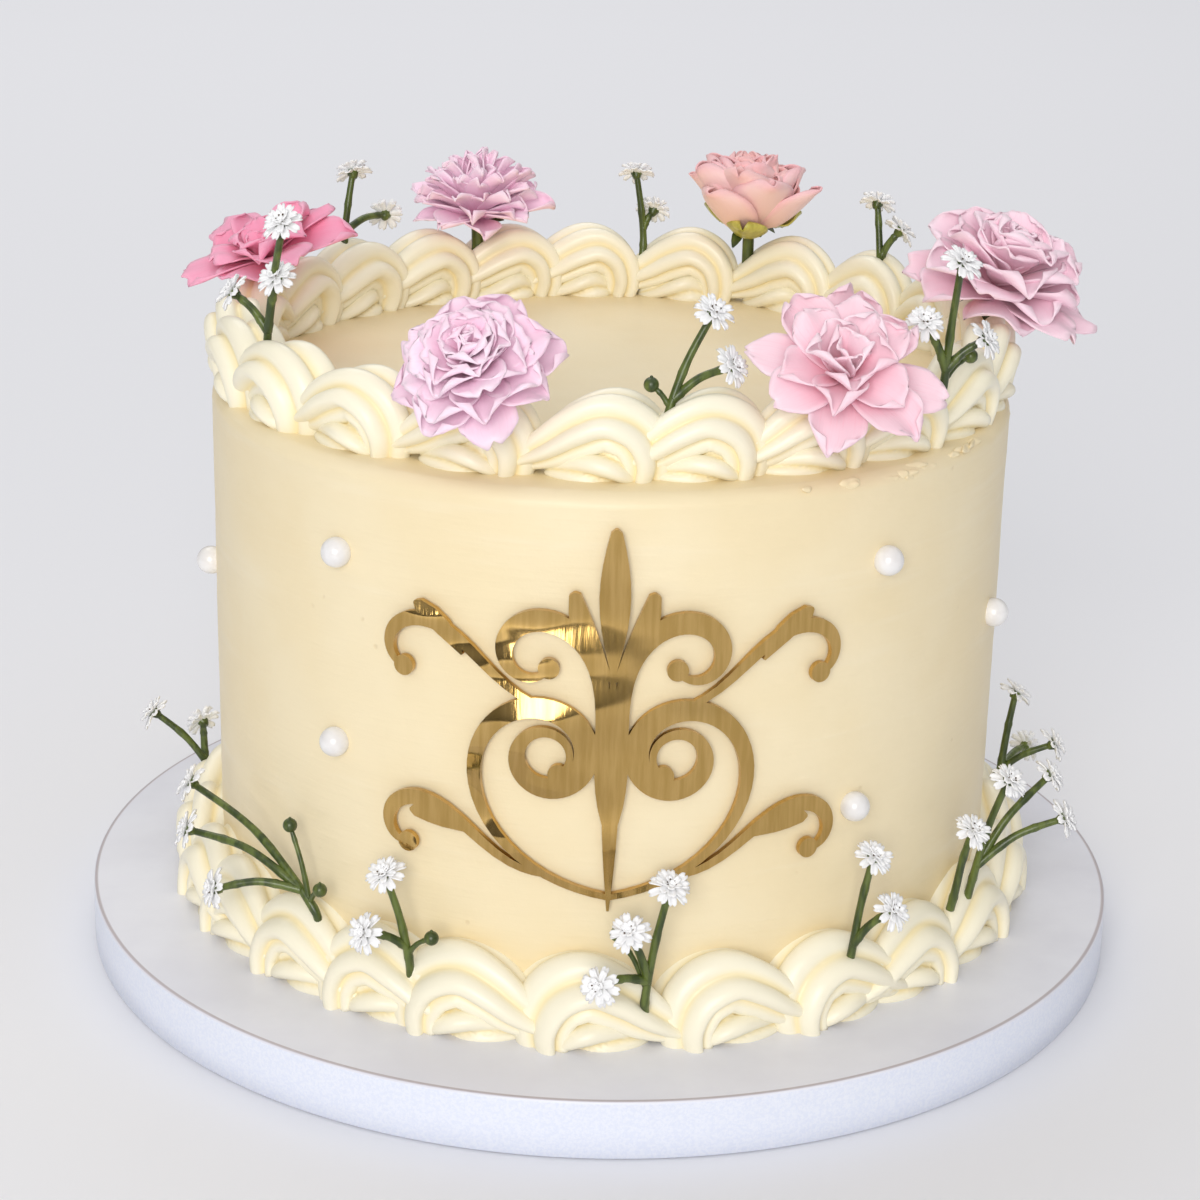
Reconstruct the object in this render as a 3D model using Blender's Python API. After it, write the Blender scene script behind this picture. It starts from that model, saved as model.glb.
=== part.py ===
"""Celebration cake on its round board: piped borders, flowers, sprigs, pearls and a gold flourish.

Every size is in millimetres and every direction in degrees, measured from the front (-Y)
towards +X. The finished meshes are scaled to metres at the end. The origin is the centre
of the board's underside.
"""

import math
import random

import bmesh
import bpy
from mathutils import Matrix, Vector

METRES = 0.001
GAP = 0.3
NEARBY = 0.02
TINY = 0.0005
FLATTEST = 0.5
SHARP_ANGLE = 40.0

# Board and cake
BOARD_RADIUS = 114.3
BOARD_THICKNESS = 12.7
BOARD_BEVEL = 0.6
CAKE_RADIUS = 85.5
CAKE_HEIGHT = 112.0
CAKE_EDGE = 3.0
CAKE_SIDES = 48
EDGE_STEPS = 2
CAKE_FOOT = BOARD_THICKNESS + GAP
CAKE_TOP = CAKE_FOOT + CAKE_HEIGHT

# One piped shell: along the border, height and rope radius, from its tail to its curl
SHELL_PATH = (
    (-20.5, 1.0, 1.0),
    (-16.0, 3.0, 3.2),
    (-10.5, 5.8, 5.2),
    (-5.0, 9.0, 6.4),
    (0.3, 10.6, 6.7),
    (4.9, 8.2, 6.4),
    (6.7, 3.6, 5.6),
    (5.9, -1.0, 4.6),
)
# Small curl in the pocket under the arch: along, height and radius
SHELL_EYE = ((-7.5, 0.0, 1.5), (-4.5, 1.8, 4.0), (-1.5, 2.4, 4.9), (2.0, 2.0, 4.9),
             (5.0, 0.5, 3.5))
SHELL_EYE_SIDES = 8
SHELL_EYE_BROAD = 1.35
SHELL_ROPES = 6
SHELL_GROOVE = 0.27
SHELL_BROAD = 1.12
SHELL_UNDERSIDE = 0.85
SHELL_TWIST = 25.0
SHELL_STEPS = 7
SHELL_MIDDLE = 8.0
SHELL_LEAN = (0.1, 0.45)
SHELL_SWELL = (0.95, 1.06)
BORDER_FACES = 1000
BORDER_FLAT = 2.0

# Top border: an oval ring of shells, set a little towards the back
TOP_HALF_X = 80.5
TOP_HALF_Y = 76.0
TOP_SHIFT = 3.8
TOP_SCALE = 1.0
TOP_SLOPE = 0.0
TOP_SEED = 11
TOP_MARKS = ((0, 0.1), (1, 15.6), (2, 32.8), (9, 147.9), (10, 166.5), (11, 183.9),
             (12, 197.6), (13, 212.6), (19, 302.1), (20, 319.9), (22, 360.1))
TOP_TURNED = (95.0, 255.0)

# Foot border: a round ring of larger shells in the corner of board and cake
FOOT_RADIUS = 88.8
FOOT_SCALE = 1.1
FOOT_SLOPE = 0.25
FOOT_SEED = 23
FOOT_MARKS = ((0, -2.3), (1, 15.6), (2, 31.0), (3, 47.0), (19, 290.4), (20, 301.3),
              (21, 316.2), (22, 329.9), (23, 341.6), (24, 357.7))
FOOT_TURNED = (38.0, 200.0)

# Space that flowers keep clear of, an oval around the top border's crest
CREST_CENTRE = 6.0
CREST_HALF_WIDTH = 9.4
CREST_HALF_HEIGHT = 13.4

# Flowers: centre (angle, radius, height), facing (angle, elevation), ring of outer petals
# (count, length, width, lift at the base, lift at the tip, cup, ruffle) and the folded mass
# of inner petals (radius, height, folds)
PETAL_THICKNESS = 0.8
PETAL_STAGGER = 13.0
PETAL_NECK = 0.12
PETAL_POINT = 0.15
PETAL_SHOULDER = 0.16
FLOWER_STEM = 1.5
FLOWER_STEM_SIDES = 6
FLOWER_STEM_TOP = 2.0
FLOWER_STEM_FOOT = 9.4
FLOWER_STEM_BURIED = 2.0
FLOWER_FLAT = 9.0
FLOWERS = (
    ("flower_1", (-106.0, 80.0, 144.0), (-60.0, 70.0),
     (8, 21.5, 12.5, 10.0, 2.0, 0.25, 1.0), (5.5, 9.0, 4)),
    ("flower_2", (-156.0, 80.5, 143.5), (-10.0, 76.0),
     (9, 18.0, 10.0, 16.0, 6.0, 0.3, 0.8), (13.0, 17.0, 6)),
    ("flower_3", (-19.8, 76.0, 143.5), (-10.0, 48.0),
     (8, 17.5, 11.5, 12.0, 2.0, 0.2, 1.3), (12.5, 14.0, 6)),
    ("flower_4", (156.5, 80.0, 140.5), (20.0, 86.0),
     (7, 24.0, 15.0, 22.0, 62.0, 0.5, 0.6), (13.5, 20.0, 6)),
    ("flower_5", (34.5, 78.0, 143.5), (8.0, 50.0),
     (8, 20.0, 11.0, 10.0, 2.0, 0.25, 1.2), (6.5, 12.0, 4)),
    ("flower_6", (95.0, 82.0, 142.5), (40.0, 66.0),
     (8, 22.5, 15.0, 12.0, 0.0, 0.2, 1.5), (15.5, 18.5, 6)),
)
FLOWER_SEEDS = (1, 1, 7, 7, 2, 5)
DOME_SIDES = 12
DOME_RINGS = 4
DOME_LOW = -30.0
DOME_HIGH = 70.0
DOME_CENTRE = 0.35
DOME_FOLD_DEPTH = 0.13

# Sprigs of small white flowers: where the stem leaves the icing, then its florets and buds
STEM_RADIUS = 0.95
STEM_SIDES = 4
STEM_TAPER = 0.8
STEM_BURIED = 5.0
STEM_FORK = 0.42
BUD_FORK = 0.36
STEM_BOW = 0.1
CUTTER_SIDES = 8
STEM_CLEARANCE = 0.7
BUD_STEM_RADIUS = 0.6
BUD_RADIUS = 1.5
FLORET_RADIUS = 4.5
FLORET_POINTS = 6
FLORET_NOTCH = 0.66
FLORET_HEIGHT = 2.6
SPRIG_FLAT = 5.0
SPRIGS = (
    ("sprig_top_1", (-62, 79, 140), ((-54.5, 80, 167), (-58, 79, 155), (-66, 84, 150)), ()),
    ("sprig_top_2", (-131, 83, 142), ((-133.5, 84, 157), (-140, 84, 146)), ()),
    ("sprig_top_3", (175, 80, 139), ((176.5, 81, 154), (173.5, 82, 145)), ()),
    ("sprig_top_4", (130.5, 81, 139), ((133, 83, 153), (128.5, 84, 147.5)), ()),
    ("sprig_top_5", (54.5, 81, 138), ((53.6, 84, 163), (50.5, 79, 151), (57.5, 87, 147)),
     ((59.5, 83, 142.5),)),
    ("sprig_top_6", (8.6, 73, 138), ((15.6, 70, 156), (18.2, 72, 146)), ((5.9, 72, 143),)),
    ("sprig_foot_1", (-102, 94, 23), ((-100.3, 106, 37), (-107, 99, 31)), ()),
    ("sprig_foot_2", (-40, 91, 31), ((-61.2, 98, 48), (-57.1, 102, 41), (-49.7, 103, 33)),
     ((-44.1, 91, 47), (-38.0, 92, 36))),
    ("sprig_foot_3", (-24, 93, 28), ((-26.9, 94, 45), (-27.8, 99, 34)), ((-20.6, 94, 33.5),)),
    ("sprig_foot_4", (5.7, 95, 26), ((8.3, 94, 48), (3.4, 98, 40.5), (0.2, 101, 30.5)),
     ((2.2, 92.5, 37.5),)),
    ("sprig_foot_5", (33.2, 93, 27), ((35.3, 94, 48), (36.0, 99, 38)), ()),
    ("sprig_foot_6", (52.8, 93, 32), ((52.7, 96, 46),), ()),
    ("sprig_foot_7", (57.5, 93, 32), ((57.8, 99, 55), (66, 103, 52), (63.5, 108, 45)), ()),
    ("sprig_foot_8", (101.8, 94, 26), ((99.4, 106, 35), (102.5, 98, 46), (107, 105, 29)), ()),
    ("sprig_foot_9", (-150, 93, 27), ((-147, 95, 47), (-154, 100, 36)), ((-144.5, 93, 37),)),
    ("sprig_foot_10", (149, 93, 27), ((152.5, 95, 47), (145, 100, 37)), ((154.5, 93, 34),)),
)

# Sugar pearls pressed into the side of the cake: angle and height
PEARL_RADIUS = 3.05
PEARL_CENTRE = 86.7
PEARLS = ((-81.7, 85.6), (-37.8, 106.9), (-38.4, 66.7), (39.3, 107.4), (71.0, 83.4),
          (35.8, 56.3), (112.0, 101.0), (142.0, 62.0), (178.0, 96.0), (-142.0, 62.0))

# Gold flourish on the front, mirrored left and right. A scroll has its start (across, up),
# heading, length, bend at its start and at its curled end in degrees for each millimetre,
# and its broadest width. A leaf has the same with one bend.
FLOURISH_ANGLE = 1.0
FLOURISH_HEIGHT = 80.0
FLOURISH_THICKNESS = 1.2
FLOURISH_STEP = 0.02
FLOURISH_FINE = 1.3
FLOURISH_FLAT = 3.0
LEAF_FINE = 0.5
SCROLL_DROP = 2.1
SCROLL_DROP_SIDES = 6
SCROLLS = (
    ((0.0, -37.0), 170.0, 118.0, -1.2, -13.0, 4.8),
    ((0.0, -24.0), 112.0, 74.0, -2.0, 14.0, 4.4),
    ((-13.0, -32.6), 176.0, 46.0, -3.6, 16.5, 3.2),
    ((-13.0, 2.5), 165.0, 46.0, -3.0, 15.0, 3.0),
)
LEAVES = (
    ((0.0, -40.0), 90.0, 52.0, 0.0, 3.4),
    ((0.0, 9.0), 90.0, 30.0, 0.0, 6.0),
    ((0.0, 8.0), 128.0, 20.0, -1.5, 4.6),
    ((-27.0, -25.4), 155.0, 14.0, 2.0, 4.0),
    ((-29.5, 11.6), 122.0, 14.0, 2.2, 3.8),
)
SCROLL_STRIDE = 0.25
SCROLL_REACH = 11.0
SCROLL_TURN = 50.0

COLOURS = {
    "board": ((0.80, 0.80, 0.82), 0.5, 0.0),
    "cake": ((0.86, 0.74, 0.48), 0.5, 0.0),
    "piping": ((0.93, 0.87, 0.70), 0.4, 0.0),
    "stem": ((0.09, 0.16, 0.03), 0.35, 0.0),
    "pearl": ((0.92, 0.91, 0.89), 0.2, 0.0),
    "gold": ((0.45, 0.32, 0.10), 0.25, 1.0),
    "flower_1": ((0.85, 0.35, 0.50), 0.6, 0.0),
    "flower_2": ((0.87, 0.45, 0.60), 0.6, 0.0),
    "flower_3": ((0.88, 0.60, 0.72), 0.6, 0.0),
    "flower_4": ((0.86, 0.50, 0.47), 0.6, 0.0),
    "flower_5": ((0.90, 0.66, 0.71), 0.6, 0.0),
    "flower_6": ((0.88, 0.55, 0.67), 0.6, 0.0),
}


def polar(angle, radius, height):
    """Point at an angle from the front, a distance from the cake's axis and a height."""
    turn = math.radians(angle)
    return Vector((radius * math.sin(turn), -radius * math.cos(turn), height))


def outward(angle, elevation):
    """Unit direction that faces an angle from the front and rises by the elevation."""
    rise = math.radians(elevation)
    return polar(angle, math.cos(rise), math.sin(rise))


def finish(name, look, bm):
    """Turn a closed bmesh into a named object with its own material."""
    bmesh.ops.recalc_face_normals(bm, faces=bm.faces)
    mesh = bpy.data.meshes.new(name)
    bm.to_mesh(mesh)
    bm.free()
    obj = bpy.data.objects.new(name, mesh)
    bpy.context.scene.collection.objects.link(obj)
    colour, roughness, metallic = COLOURS[look]
    material = bpy.data.materials.new(name)
    material.use_nodes = True
    shader = material.node_tree.nodes["Principled BSDF"]
    shader.inputs["Base Color"].default_value = (*colour, 1.0)
    shader.inputs["Roughness"].default_value = roughness
    shader.inputs["Metallic"].default_value = metallic
    mesh.materials.append(material)
    return obj


def combine(target, others, operation, solver):
    """Apply one Boolean with all the other objects, which are then removed."""
    group = bpy.data.collections.new("operands")
    bpy.context.scene.collection.children.link(group)
    for other in others:
        bpy.context.scene.collection.objects.unlink(other)
        group.objects.link(other)
    modifier = target.modifiers.new("combine", "BOOLEAN")
    modifier.operation = operation
    modifier.operand_type = "COLLECTION"
    modifier.collection = group
    modifier.solver = solver
    bpy.context.view_layer.objects.active = target
    bpy.ops.object.modifier_apply(modifier=modifier.name)
    for other in others:
        bpy.data.objects.remove(other)
    bpy.data.collections.remove(group)


def keep_main_body(obj, flat):
    """Drop loose scraps and fill sealed hollows, so that one closed body is left."""
    bm = bmesh.new()
    bm.from_mesh(obj.data)
    bmesh.ops.remove_doubles(bm, verts=bm.verts, dist=TINY)
    bmesh.ops.dissolve_degenerate(bm, edges=bm.edges, dist=TINY)
    bmesh.ops.dissolve_limit(bm, verts=bm.verts, edges=bm.edges, angle_limit=math.radians(flat))
    bmesh.ops.triangulate(bm, faces=bm.faces)
    bodies = []
    left = set(bm.faces)
    while left:
        body = [left.pop()]
        for face in body:
            for edge in face.edges:
                for beside in edge.link_faces:
                    if beside in left:
                        left.remove(beside)
                        body.append(beside)
        bodies.append(body)
    bodies.sort(key=body_volume)
    scraps = [face for body in bodies[:-1] for face in body]
    bmesh.ops.delete(bm, geom=scraps, context="FACES")
    bm.to_mesh(obj.data)
    bm.free()


def is_closed(obj):
    """Whether every edge lies between exactly two faces."""
    bm = bmesh.new()
    bm.from_mesh(obj.data)
    closed = all(len(edge.link_faces) == 2 for edge in bm.edges)
    bm.free()
    return closed


def combine_closed(first, others, operation, flat):
    """Combine by the first solver and flat angle that leave one closed body."""
    whole = first.data
    for solver, angle in (("EXACT", flat), ("MANIFOLD", flat), ("EXACT", FLATTEST),
                          ("MANIFOLD", FLATTEST)):
        first.data = whole.copy()
        copies = [other.copy() for other in others]
        for copy in copies:
            bpy.context.scene.collection.objects.link(copy)
        combine(first, copies, operation, solver)
        keep_main_body(first, angle)
        if is_closed(first):
            break
    for other in others:
        bpy.data.objects.remove(other)


def simplify(obj, faces):
    """Collapse the shortest details until about this many faces are left."""
    modifier = obj.modifiers.new("simplify", "DECIMATE")
    modifier.ratio = min(faces / len(obj.data.polygons), 1.0)
    bpy.context.view_layer.objects.active = obj
    bpy.ops.object.modifier_apply(modifier=modifier.name)


def body_volume(faces):
    """Signed volume inside a closed set of triangles."""
    total = 0.0
    for face in faces:
        a, b, c = (vert.co for vert in face.verts)
        total += a.dot(b.cross(c)) / 6.0
    return total


def smooth_point(points, t):
    """Point at t, from 0 to 1, on the smooth curve through the given points."""
    spans = len(points) - 1
    index = min(int(t * spans), spans - 1)
    local = t * spans - index
    before = Vector(points[max(index - 1, 0)])
    start = Vector(points[index])
    end = Vector(points[index + 1])
    after = Vector(points[min(index + 2, spans)])
    return 0.5 * (2.0 * start + (end - before) * local
                  + (2.0 * before - 5.0 * start + 4.0 * end - after) * local ** 2
                  + (3.0 * start - before - 3.0 * end + after) * local ** 3)


def heading_at(points, t):
    """Direction of the smooth curve at t."""
    return smooth_point(points, min(t + NEARBY, 1.0)) - smooth_point(points, max(t - NEARBY, 0.0))


def skin(rings):
    """Extrude a closed ring of corners through all the rings of points and cap both ends."""
    bm = bmesh.new()
    corner = bm.verts.layers.int.new("corner")
    sides = len(rings[0])
    verts = bmesh.ops.create_circle(bm, segments=sides, radius=1.0)["verts"]
    for number, vert in enumerate(verts):
        vert[corner] = number
        vert.co = rings[0][number]
    edges = list(bm.edges)
    bmesh.ops.contextual_create(bm, geom=edges)
    for ring in rings[1:]:
        grown = bmesh.ops.extrude_edge_only(bm, edges=edges)["geom"]
        edges = [item for item in grown if isinstance(item, bmesh.types.BMEdge)]
        for item in grown:
            if isinstance(item, bmesh.types.BMVert):
                item.co = ring[item[corner]]
    bmesh.ops.contextual_create(bm, geom=edges)
    bmesh.ops.triangulate(bm, faces=bm.faces)
    return bm


def tube(points, radii, sides, steps):
    """Round stem through the points, its radius running evenly from the first to the last."""
    rings = []
    side = None
    for step in range(steps + 1):
        t = step / steps
        centre = smooth_point(points, t)
        along = heading_at(points, t)
        if side is None:
            side = along.orthogonal()
        side = (side - along * side.dot(along) / along.length_squared).normalized()
        other = along.normalized().cross(side)
        radius = radii[0] + (radii[1] - radii[0]) * t
        turns = [2.0 * math.pi * number / sides for number in range(sides)]
        rings.append([centre + radius * (math.cos(a) * side + math.sin(a) * other) for a in turns])
    return skin(rings)


def round_body(profile):
    """Turn a profile of (radius, height) points, from top to bottom, into a round solid."""
    bm = bmesh.new()
    verts = [bm.verts.new((radius, 0.0, height)) for radius, height in profile]
    edges = [bm.edges.new(pair) for pair in zip(verts, verts[1:])]
    bmesh.ops.spin(bm, geom=verts + edges, angle=2.0 * math.pi, steps=CAKE_SIDES,
                   axis=(0.0, 0.0, 1.0), cent=(0.0, 0.0, 0.0), use_merge=True)
    open_edges = [edge for edge in bm.edges if edge.is_boundary]
    bmesh.ops.edgeloop_fill(bm, edges=open_edges)
    return bm


def cake_profile(grow):
    """Half outline of the cake, grown all round by a distance."""
    radius = CAKE_RADIUS + grow
    edge = CAKE_EDGE + grow
    outline = []
    for step in range(EDGE_STEPS + 1):
        turn = math.radians(90.0 - 90.0 * step / EDGE_STEPS)
        outline.append((radius - edge + edge * math.cos(turn),
                        CAKE_TOP + grow - edge + edge * math.sin(turn)))
    outline.append((radius, CAKE_FOOT - grow))
    return outline


def make_board():
    """Thick round cake board with a softened rim."""
    profile = ((BOARD_RADIUS - BOARD_BEVEL, BOARD_THICKNESS),
               (BOARD_RADIUS, BOARD_THICKNESS - BOARD_BEVEL), (BOARD_RADIUS, 0.0))
    finish("board", "board", round_body(profile))


def make_cake():
    """Smooth iced cake, a straight round side and a softened top edge."""
    finish("cake", "cake", round_body(cake_profile(0.0)))


def top_radius(angle):
    """Distance from the cake's axis to the middle of the top border."""
    turn = math.radians(angle)
    square = (math.sin(turn) / TOP_HALF_X) ** 2 + (math.cos(turn) / TOP_HALF_Y) ** 2
    linear = 2.0 * math.cos(turn) * TOP_SHIFT / TOP_HALF_Y ** 2
    fixed = (TOP_SHIFT / TOP_HALF_Y) ** 2 - 1.0
    return (-linear + math.sqrt(linear ** 2 - 4.0 * square * fixed)) / (2.0 * square)


def foot_radius(angle):
    """Distance from the cake's axis to the middle of the foot border."""
    return FOOT_RADIUS


def shell_angle(marks, index):
    """Angle of a shell, evenly spaced between the marked ones."""
    for (first, start), (last, end) in zip(marks, marks[1:]):
        if first <= index <= last:
            return start + (end - start) * (index - first) / (last - first)


def shell(angle, hand, ring_radius, base, scale, slope, lean, swell):
    """One shell: ropes that rise from a tail, arch over and curl down."""
    sides = 2 * SHELL_ROPES
    middle = ring_radius(angle)
    rings = []
    for step in range(SHELL_STEPS):
        t = step / (SHELL_STEPS - 1)
        along, height, radius = smooth_point(SHELL_PATH, t) * scale
        ahead = heading_at(SHELL_PATH, t)
        heading = math.atan2(ahead[1], ahead[0])
        twist = math.radians(SHELL_TWIST) * (t - 0.5)
        ring = []
        for corner in range(sides):
            around = 2.0 * math.pi * corner / sides + twist
            rope = abs(math.cos(SHELL_ROPES * math.pi * corner / sides))
            reach = swell * radius * (1.0 - SHELL_GROOVE + SHELL_GROOVE * rope)
            across = SHELL_BROAD * reach * math.cos(around)
            above = reach * math.sin(around)
            if above < 0.0:
                above *= SHELL_UNDERSIDE
            rise = height + above * math.cos(heading)
            run = along - above * math.sin(heading) - lean * across
            across -= slope * (rise - SHELL_MIDDLE)
            spot = angle + hand * math.degrees(run / middle)
            ring.append(polar(spot, ring_radius(spot) + across, base + rise))
        rings.append(ring)
    return skin(rings)


def shell_eye(angle, hand, ring_radius, base, scale):
    """Small curl that fills the pocket under a shell's arch."""
    middle = ring_radius(angle)
    rings = []
    for along, height, radius in SHELL_EYE:
        ring = []
        for corner in range(SHELL_EYE_SIDES):
            around = 2.0 * math.pi * corner / SHELL_EYE_SIDES
            across = SHELL_EYE_BROAD * scale * radius * math.cos(around)
            rise = scale * (height + radius * math.sin(around))
            spot = angle + hand * math.degrees(scale * along / middle)
            ring.append(polar(spot, ring_radius(spot) + across, base + rise))
        rings.append(ring)
    return skin(rings)


def make_border(name, marks, turned, hand, ring_radius, base, scale, slope, seed, cutters):
    """Fuse a ring of shells into one body and cut it clear of what it meets."""
    rng = random.Random(seed)
    shells = []
    for index in range(marks[-1][0]):
        angle = shell_angle(marks, index) % 360.0
        flip = -1.0 if turned[0] < angle < turned[1] else 1.0
        lean = rng.uniform(*SHELL_LEAN)
        swell = rng.uniform(*SHELL_SWELL)
        bm = shell(angle, hand * flip, ring_radius, base, scale, slope, lean, swell)
        shells.append(finish(name, "piping", bm))
        eye = shell_eye(angle, hand * flip, ring_radius, base, scale)
        shells.append(finish(name, "piping", eye))
    border = shells[0]
    combine_closed(border, shells[1:], "UNION", BORDER_FLAT)
    simplify(border, BORDER_FACES)
    combine_closed(border, cutters, "DIFFERENCE", BORDER_FLAT)


def clear_of_crest(point):
    """Push a point out of the space that the top border takes."""
    angle = math.degrees(math.atan2(point.x, -point.y))
    middle = top_radius(angle)
    across = math.hypot(point.x, point.y) - middle
    above = point.z - CAKE_TOP - CREST_CENTRE
    inside = math.hypot(across / CREST_HALF_WIDTH, above / CREST_HALF_HEIGHT)
    if inside >= 1.0 or above < -CREST_CENTRE:
        return point
    grow = 1.0 / max(inside, 0.2)
    return polar(angle, middle + across * grow, CAKE_TOP + CREST_CENTRE + above * grow)


def flower_frame(centre, facing):
    """Matrix that puts a flower, opening towards +Z, in its place."""
    turn = outward(*facing).to_track_quat("Z", "Y").to_matrix().to_4x4()
    return Matrix.Translation(polar(*centre)) @ turn


def petal_point(shape, azimuth, across, along):
    """Point on a petal; across runs from -1 to 1 and along from 0 to 1."""
    length, width, low, high, cup, ruffle = shape
    reach = along * (1.0 - PETAL_SHOULDER * along * across ** 2)
    start = math.radians(low)
    bend = math.radians(high - low)
    rise = start + bend * reach
    out = length * (math.sin(rise) - math.sin(start)) / bend
    up = -length * (math.cos(rise) - math.cos(start)) / bend
    swell = math.sin(math.pi * (0.05 + 0.72 * along))
    half = 0.5 * width * (PETAL_NECK + (1.0 - PETAL_NECK) * swell)
    side = half * across * (1.0 - PETAL_POINT * along ** 4 * abs(across))
    lift = cup * half * across ** 2 + ruffle * along ** 2 * math.sin(2.6 * across + 3.0 * azimuth)
    out -= lift * math.sin(rise)
    up += lift * math.cos(rise)
    return Vector((out * math.cos(azimuth) - side * math.sin(azimuth),
                   out * math.sin(azimuth) + side * math.cos(azimuth), up))


def petal(shape, azimuth, place):
    """Thin wavy petal, both faces split into triangles alike."""
    bm = bmesh.new()
    bmesh.ops.create_grid(bm, x_segments=2, y_segments=2, size=1.0)
    bmesh.ops.triangulate(bm, faces=bm.faces)
    for vert in bm.verts:
        across, along = vert.co.x, 0.5 * (vert.co.y + 1.0)
        vert.co = clear_of_crest(place @ petal_point(shape, azimuth, across, along))
    bmesh.ops.recalc_face_normals(bm, faces=bm.faces)
    bmesh.ops.solidify(bm, geom=bm.faces, thickness=PETAL_THICKNESS)
    return bm


def dome(radius, height, folds, place):
    """Folded mass of a flower's inner petals."""
    rings = []
    for ring in range(DOME_RINGS):
        level = math.radians(DOME_LOW + (DOME_HIGH - DOME_LOW) * ring / (DOME_RINGS - 1))
        points = []
        for side in range(DOME_SIDES):
            turn = 2.0 * math.pi * side / DOME_SIDES
            fold = 1.0 + DOME_FOLD_DEPTH * math.cos(folds * turn + math.pi * ring)
            reach = radius * math.cos(level) * fold
            point = Vector((reach * math.cos(turn), reach * math.sin(turn),
                            height * (DOME_CENTRE + (1.0 - DOME_CENTRE) * math.sin(level))))
            points.append(clear_of_crest(place @ point))
        rings.append(points)
    return skin(rings)


def petal_ring(ring, rng):
    """Shape and azimuth of each petal of a ring, higher and lower by turns."""
    count, *shape = ring
    first = rng.uniform(0.0, 2.0 * math.pi)
    petals = []
    for number in range(count):
        own = list(shape)
        own[0] *= rng.uniform(0.9, 1.08)
        own[2] += PETAL_STAGGER * (number % 2)
        turn = 2.0 * math.pi * (number + rng.uniform(-0.12, 0.12)) / count
        petals.append((own, first + turn))
    return petals


def make_flower(name, centre, facing, ring, heart, rng):
    """One flower head on a short stem, its petals and folded heart fused."""
    place = flower_frame(centre, facing)
    parts = [finish(name, name, dome(*heart, place))]
    for shape, azimuth in petal_ring(ring, rng):
        parts.append(finish(name, name, petal(shape, azimuth, place)))
    line = flower_stem(centre, place)
    stem = tube(line, (FLOWER_STEM, FLOWER_STEM), FLOWER_STEM_SIDES, 1)
    parts.append(finish(name, name, stem))
    combine_closed(parts[0], parts[1:], "UNION", FLOWER_FLAT)


def flower_stem(centre, place):
    """Short straight stem from the heart of the flower down into the border."""
    heart = place @ Vector((0.0, 0.0, FLOWER_STEM_TOP))
    foot = polar(centre[0], top_radius(centre[0]), CAKE_TOP + FLOWER_STEM_FOOT)
    return (heart, foot + (foot - heart).normalized() * FLOWER_STEM_BURIED)


def sprig_stems(root, florets, buds):
    """Stem lines of a sprig: the main stem first, then a branch to each floret and bud."""
    base = polar(*root)
    buried = polar(root[0], root[1] - 1.0, root[2] - STEM_BURIED)
    lines = []
    for number, tip in enumerate(florets + buds):
        end = polar(*tip)
        start = base
        if lines:
            start = smooth_point(lines[0], STEM_FORK if number < len(florets) else BUD_FORK)
        chord = end - start
        bow = Vector((0.0, 0.0, 1.0)) - chord * chord.z / chord.length_squared
        middle = start + 0.5 * chord + bow * STEM_BOW * chord.length
        lines.append((buried, base, middle, end) if not lines else (start, middle, end))
    return lines


def stem_steps(line):
    """Straight lengths that a stem's curve is cut into."""
    return len(line) - 1


def floret(centre, direction):
    """Small star-shaped flower with a raised middle."""
    turn = direction.to_track_quat("Z", "Y").to_matrix().to_4x4()
    bm = bmesh.new()
    sides = 2 * FLORET_POINTS
    bmesh.ops.create_circle(bm, segments=sides, radius=FLORET_RADIUS)
    rim = list(bm.edges)
    for vert in list(bm.verts)[::2]:
        vert.co *= FLORET_NOTCH
    tip = bm.verts.new((0.0, 0.0, FLORET_HEIGHT))
    for edge in rim:
        bm.faces.new((edge.verts[0], edge.verts[1], tip))
    bmesh.ops.edgeloop_fill(bm, edges=rim)
    bm.transform(Matrix.Translation(centre) @ turn)
    return bm


def make_sprig(name, root, florets, buds):
    """Forked green stem with white florets and green buds, fused into one body."""
    lines = sprig_stems(root, florets, buds)
    parts = []
    for number, line in enumerate(lines):
        budding = number >= len(florets)
        radius = BUD_STEM_RADIUS if budding else STEM_RADIUS
        stem = tube(line, (radius, STEM_TAPER * radius), STEM_SIDES, stem_steps(line))
        parts.append(finish(name, "stem", stem))
        if budding:
            ball = bmesh.new()
            bmesh.ops.create_icosphere(ball, subdivisions=1, radius=BUD_RADIUS)
            bmesh.ops.translate(ball, verts=ball.verts, vec=line[-1])
            parts.append(finish(name, "stem", ball))
        else:
            parts.append(finish(name, "stem", floret(line[-1], floret_facing(line))))
    combine_closed(parts[0], parts[1:], "UNION", SPRIG_FLAT)


def floret_facing(line):
    """Florets turn from the end of their stem a little outwards and up."""
    along = (line[-1] - line[-2]).normalized()
    away = Vector((line[-1].x, line[-1].y, 0.0)).normalized()
    return (0.6 * along + 0.55 * away + Vector((0.0, 0.0, 0.35))).normalized()


def make_pearl(number, angle, height):
    """Sugar pearl, its back flat where it is pressed into the icing."""
    bm = bmesh.new()
    bmesh.ops.create_uvsphere(bm, u_segments=8, v_segments=4, radius=PEARL_RADIUS)
    bmesh.ops.translate(bm, verts=bm.verts, vec=polar(angle, PEARL_CENTRE, height))
    cut = bmesh.ops.bisect_plane(bm, geom=bm.verts[:] + bm.edges[:] + bm.faces[:],
                                 plane_co=polar(angle, CAKE_RADIUS + GAP, height),
                                 plane_no=outward(angle, 0.0), clear_inner=True)
    bmesh.ops.edgeloop_fill(bm, edges=[edge for edge in cut["geom_cut"]
                                       if isinstance(edge, bmesh.types.BMEdge)])
    finish(f"pearl_{number}", "pearl", bm)


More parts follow.
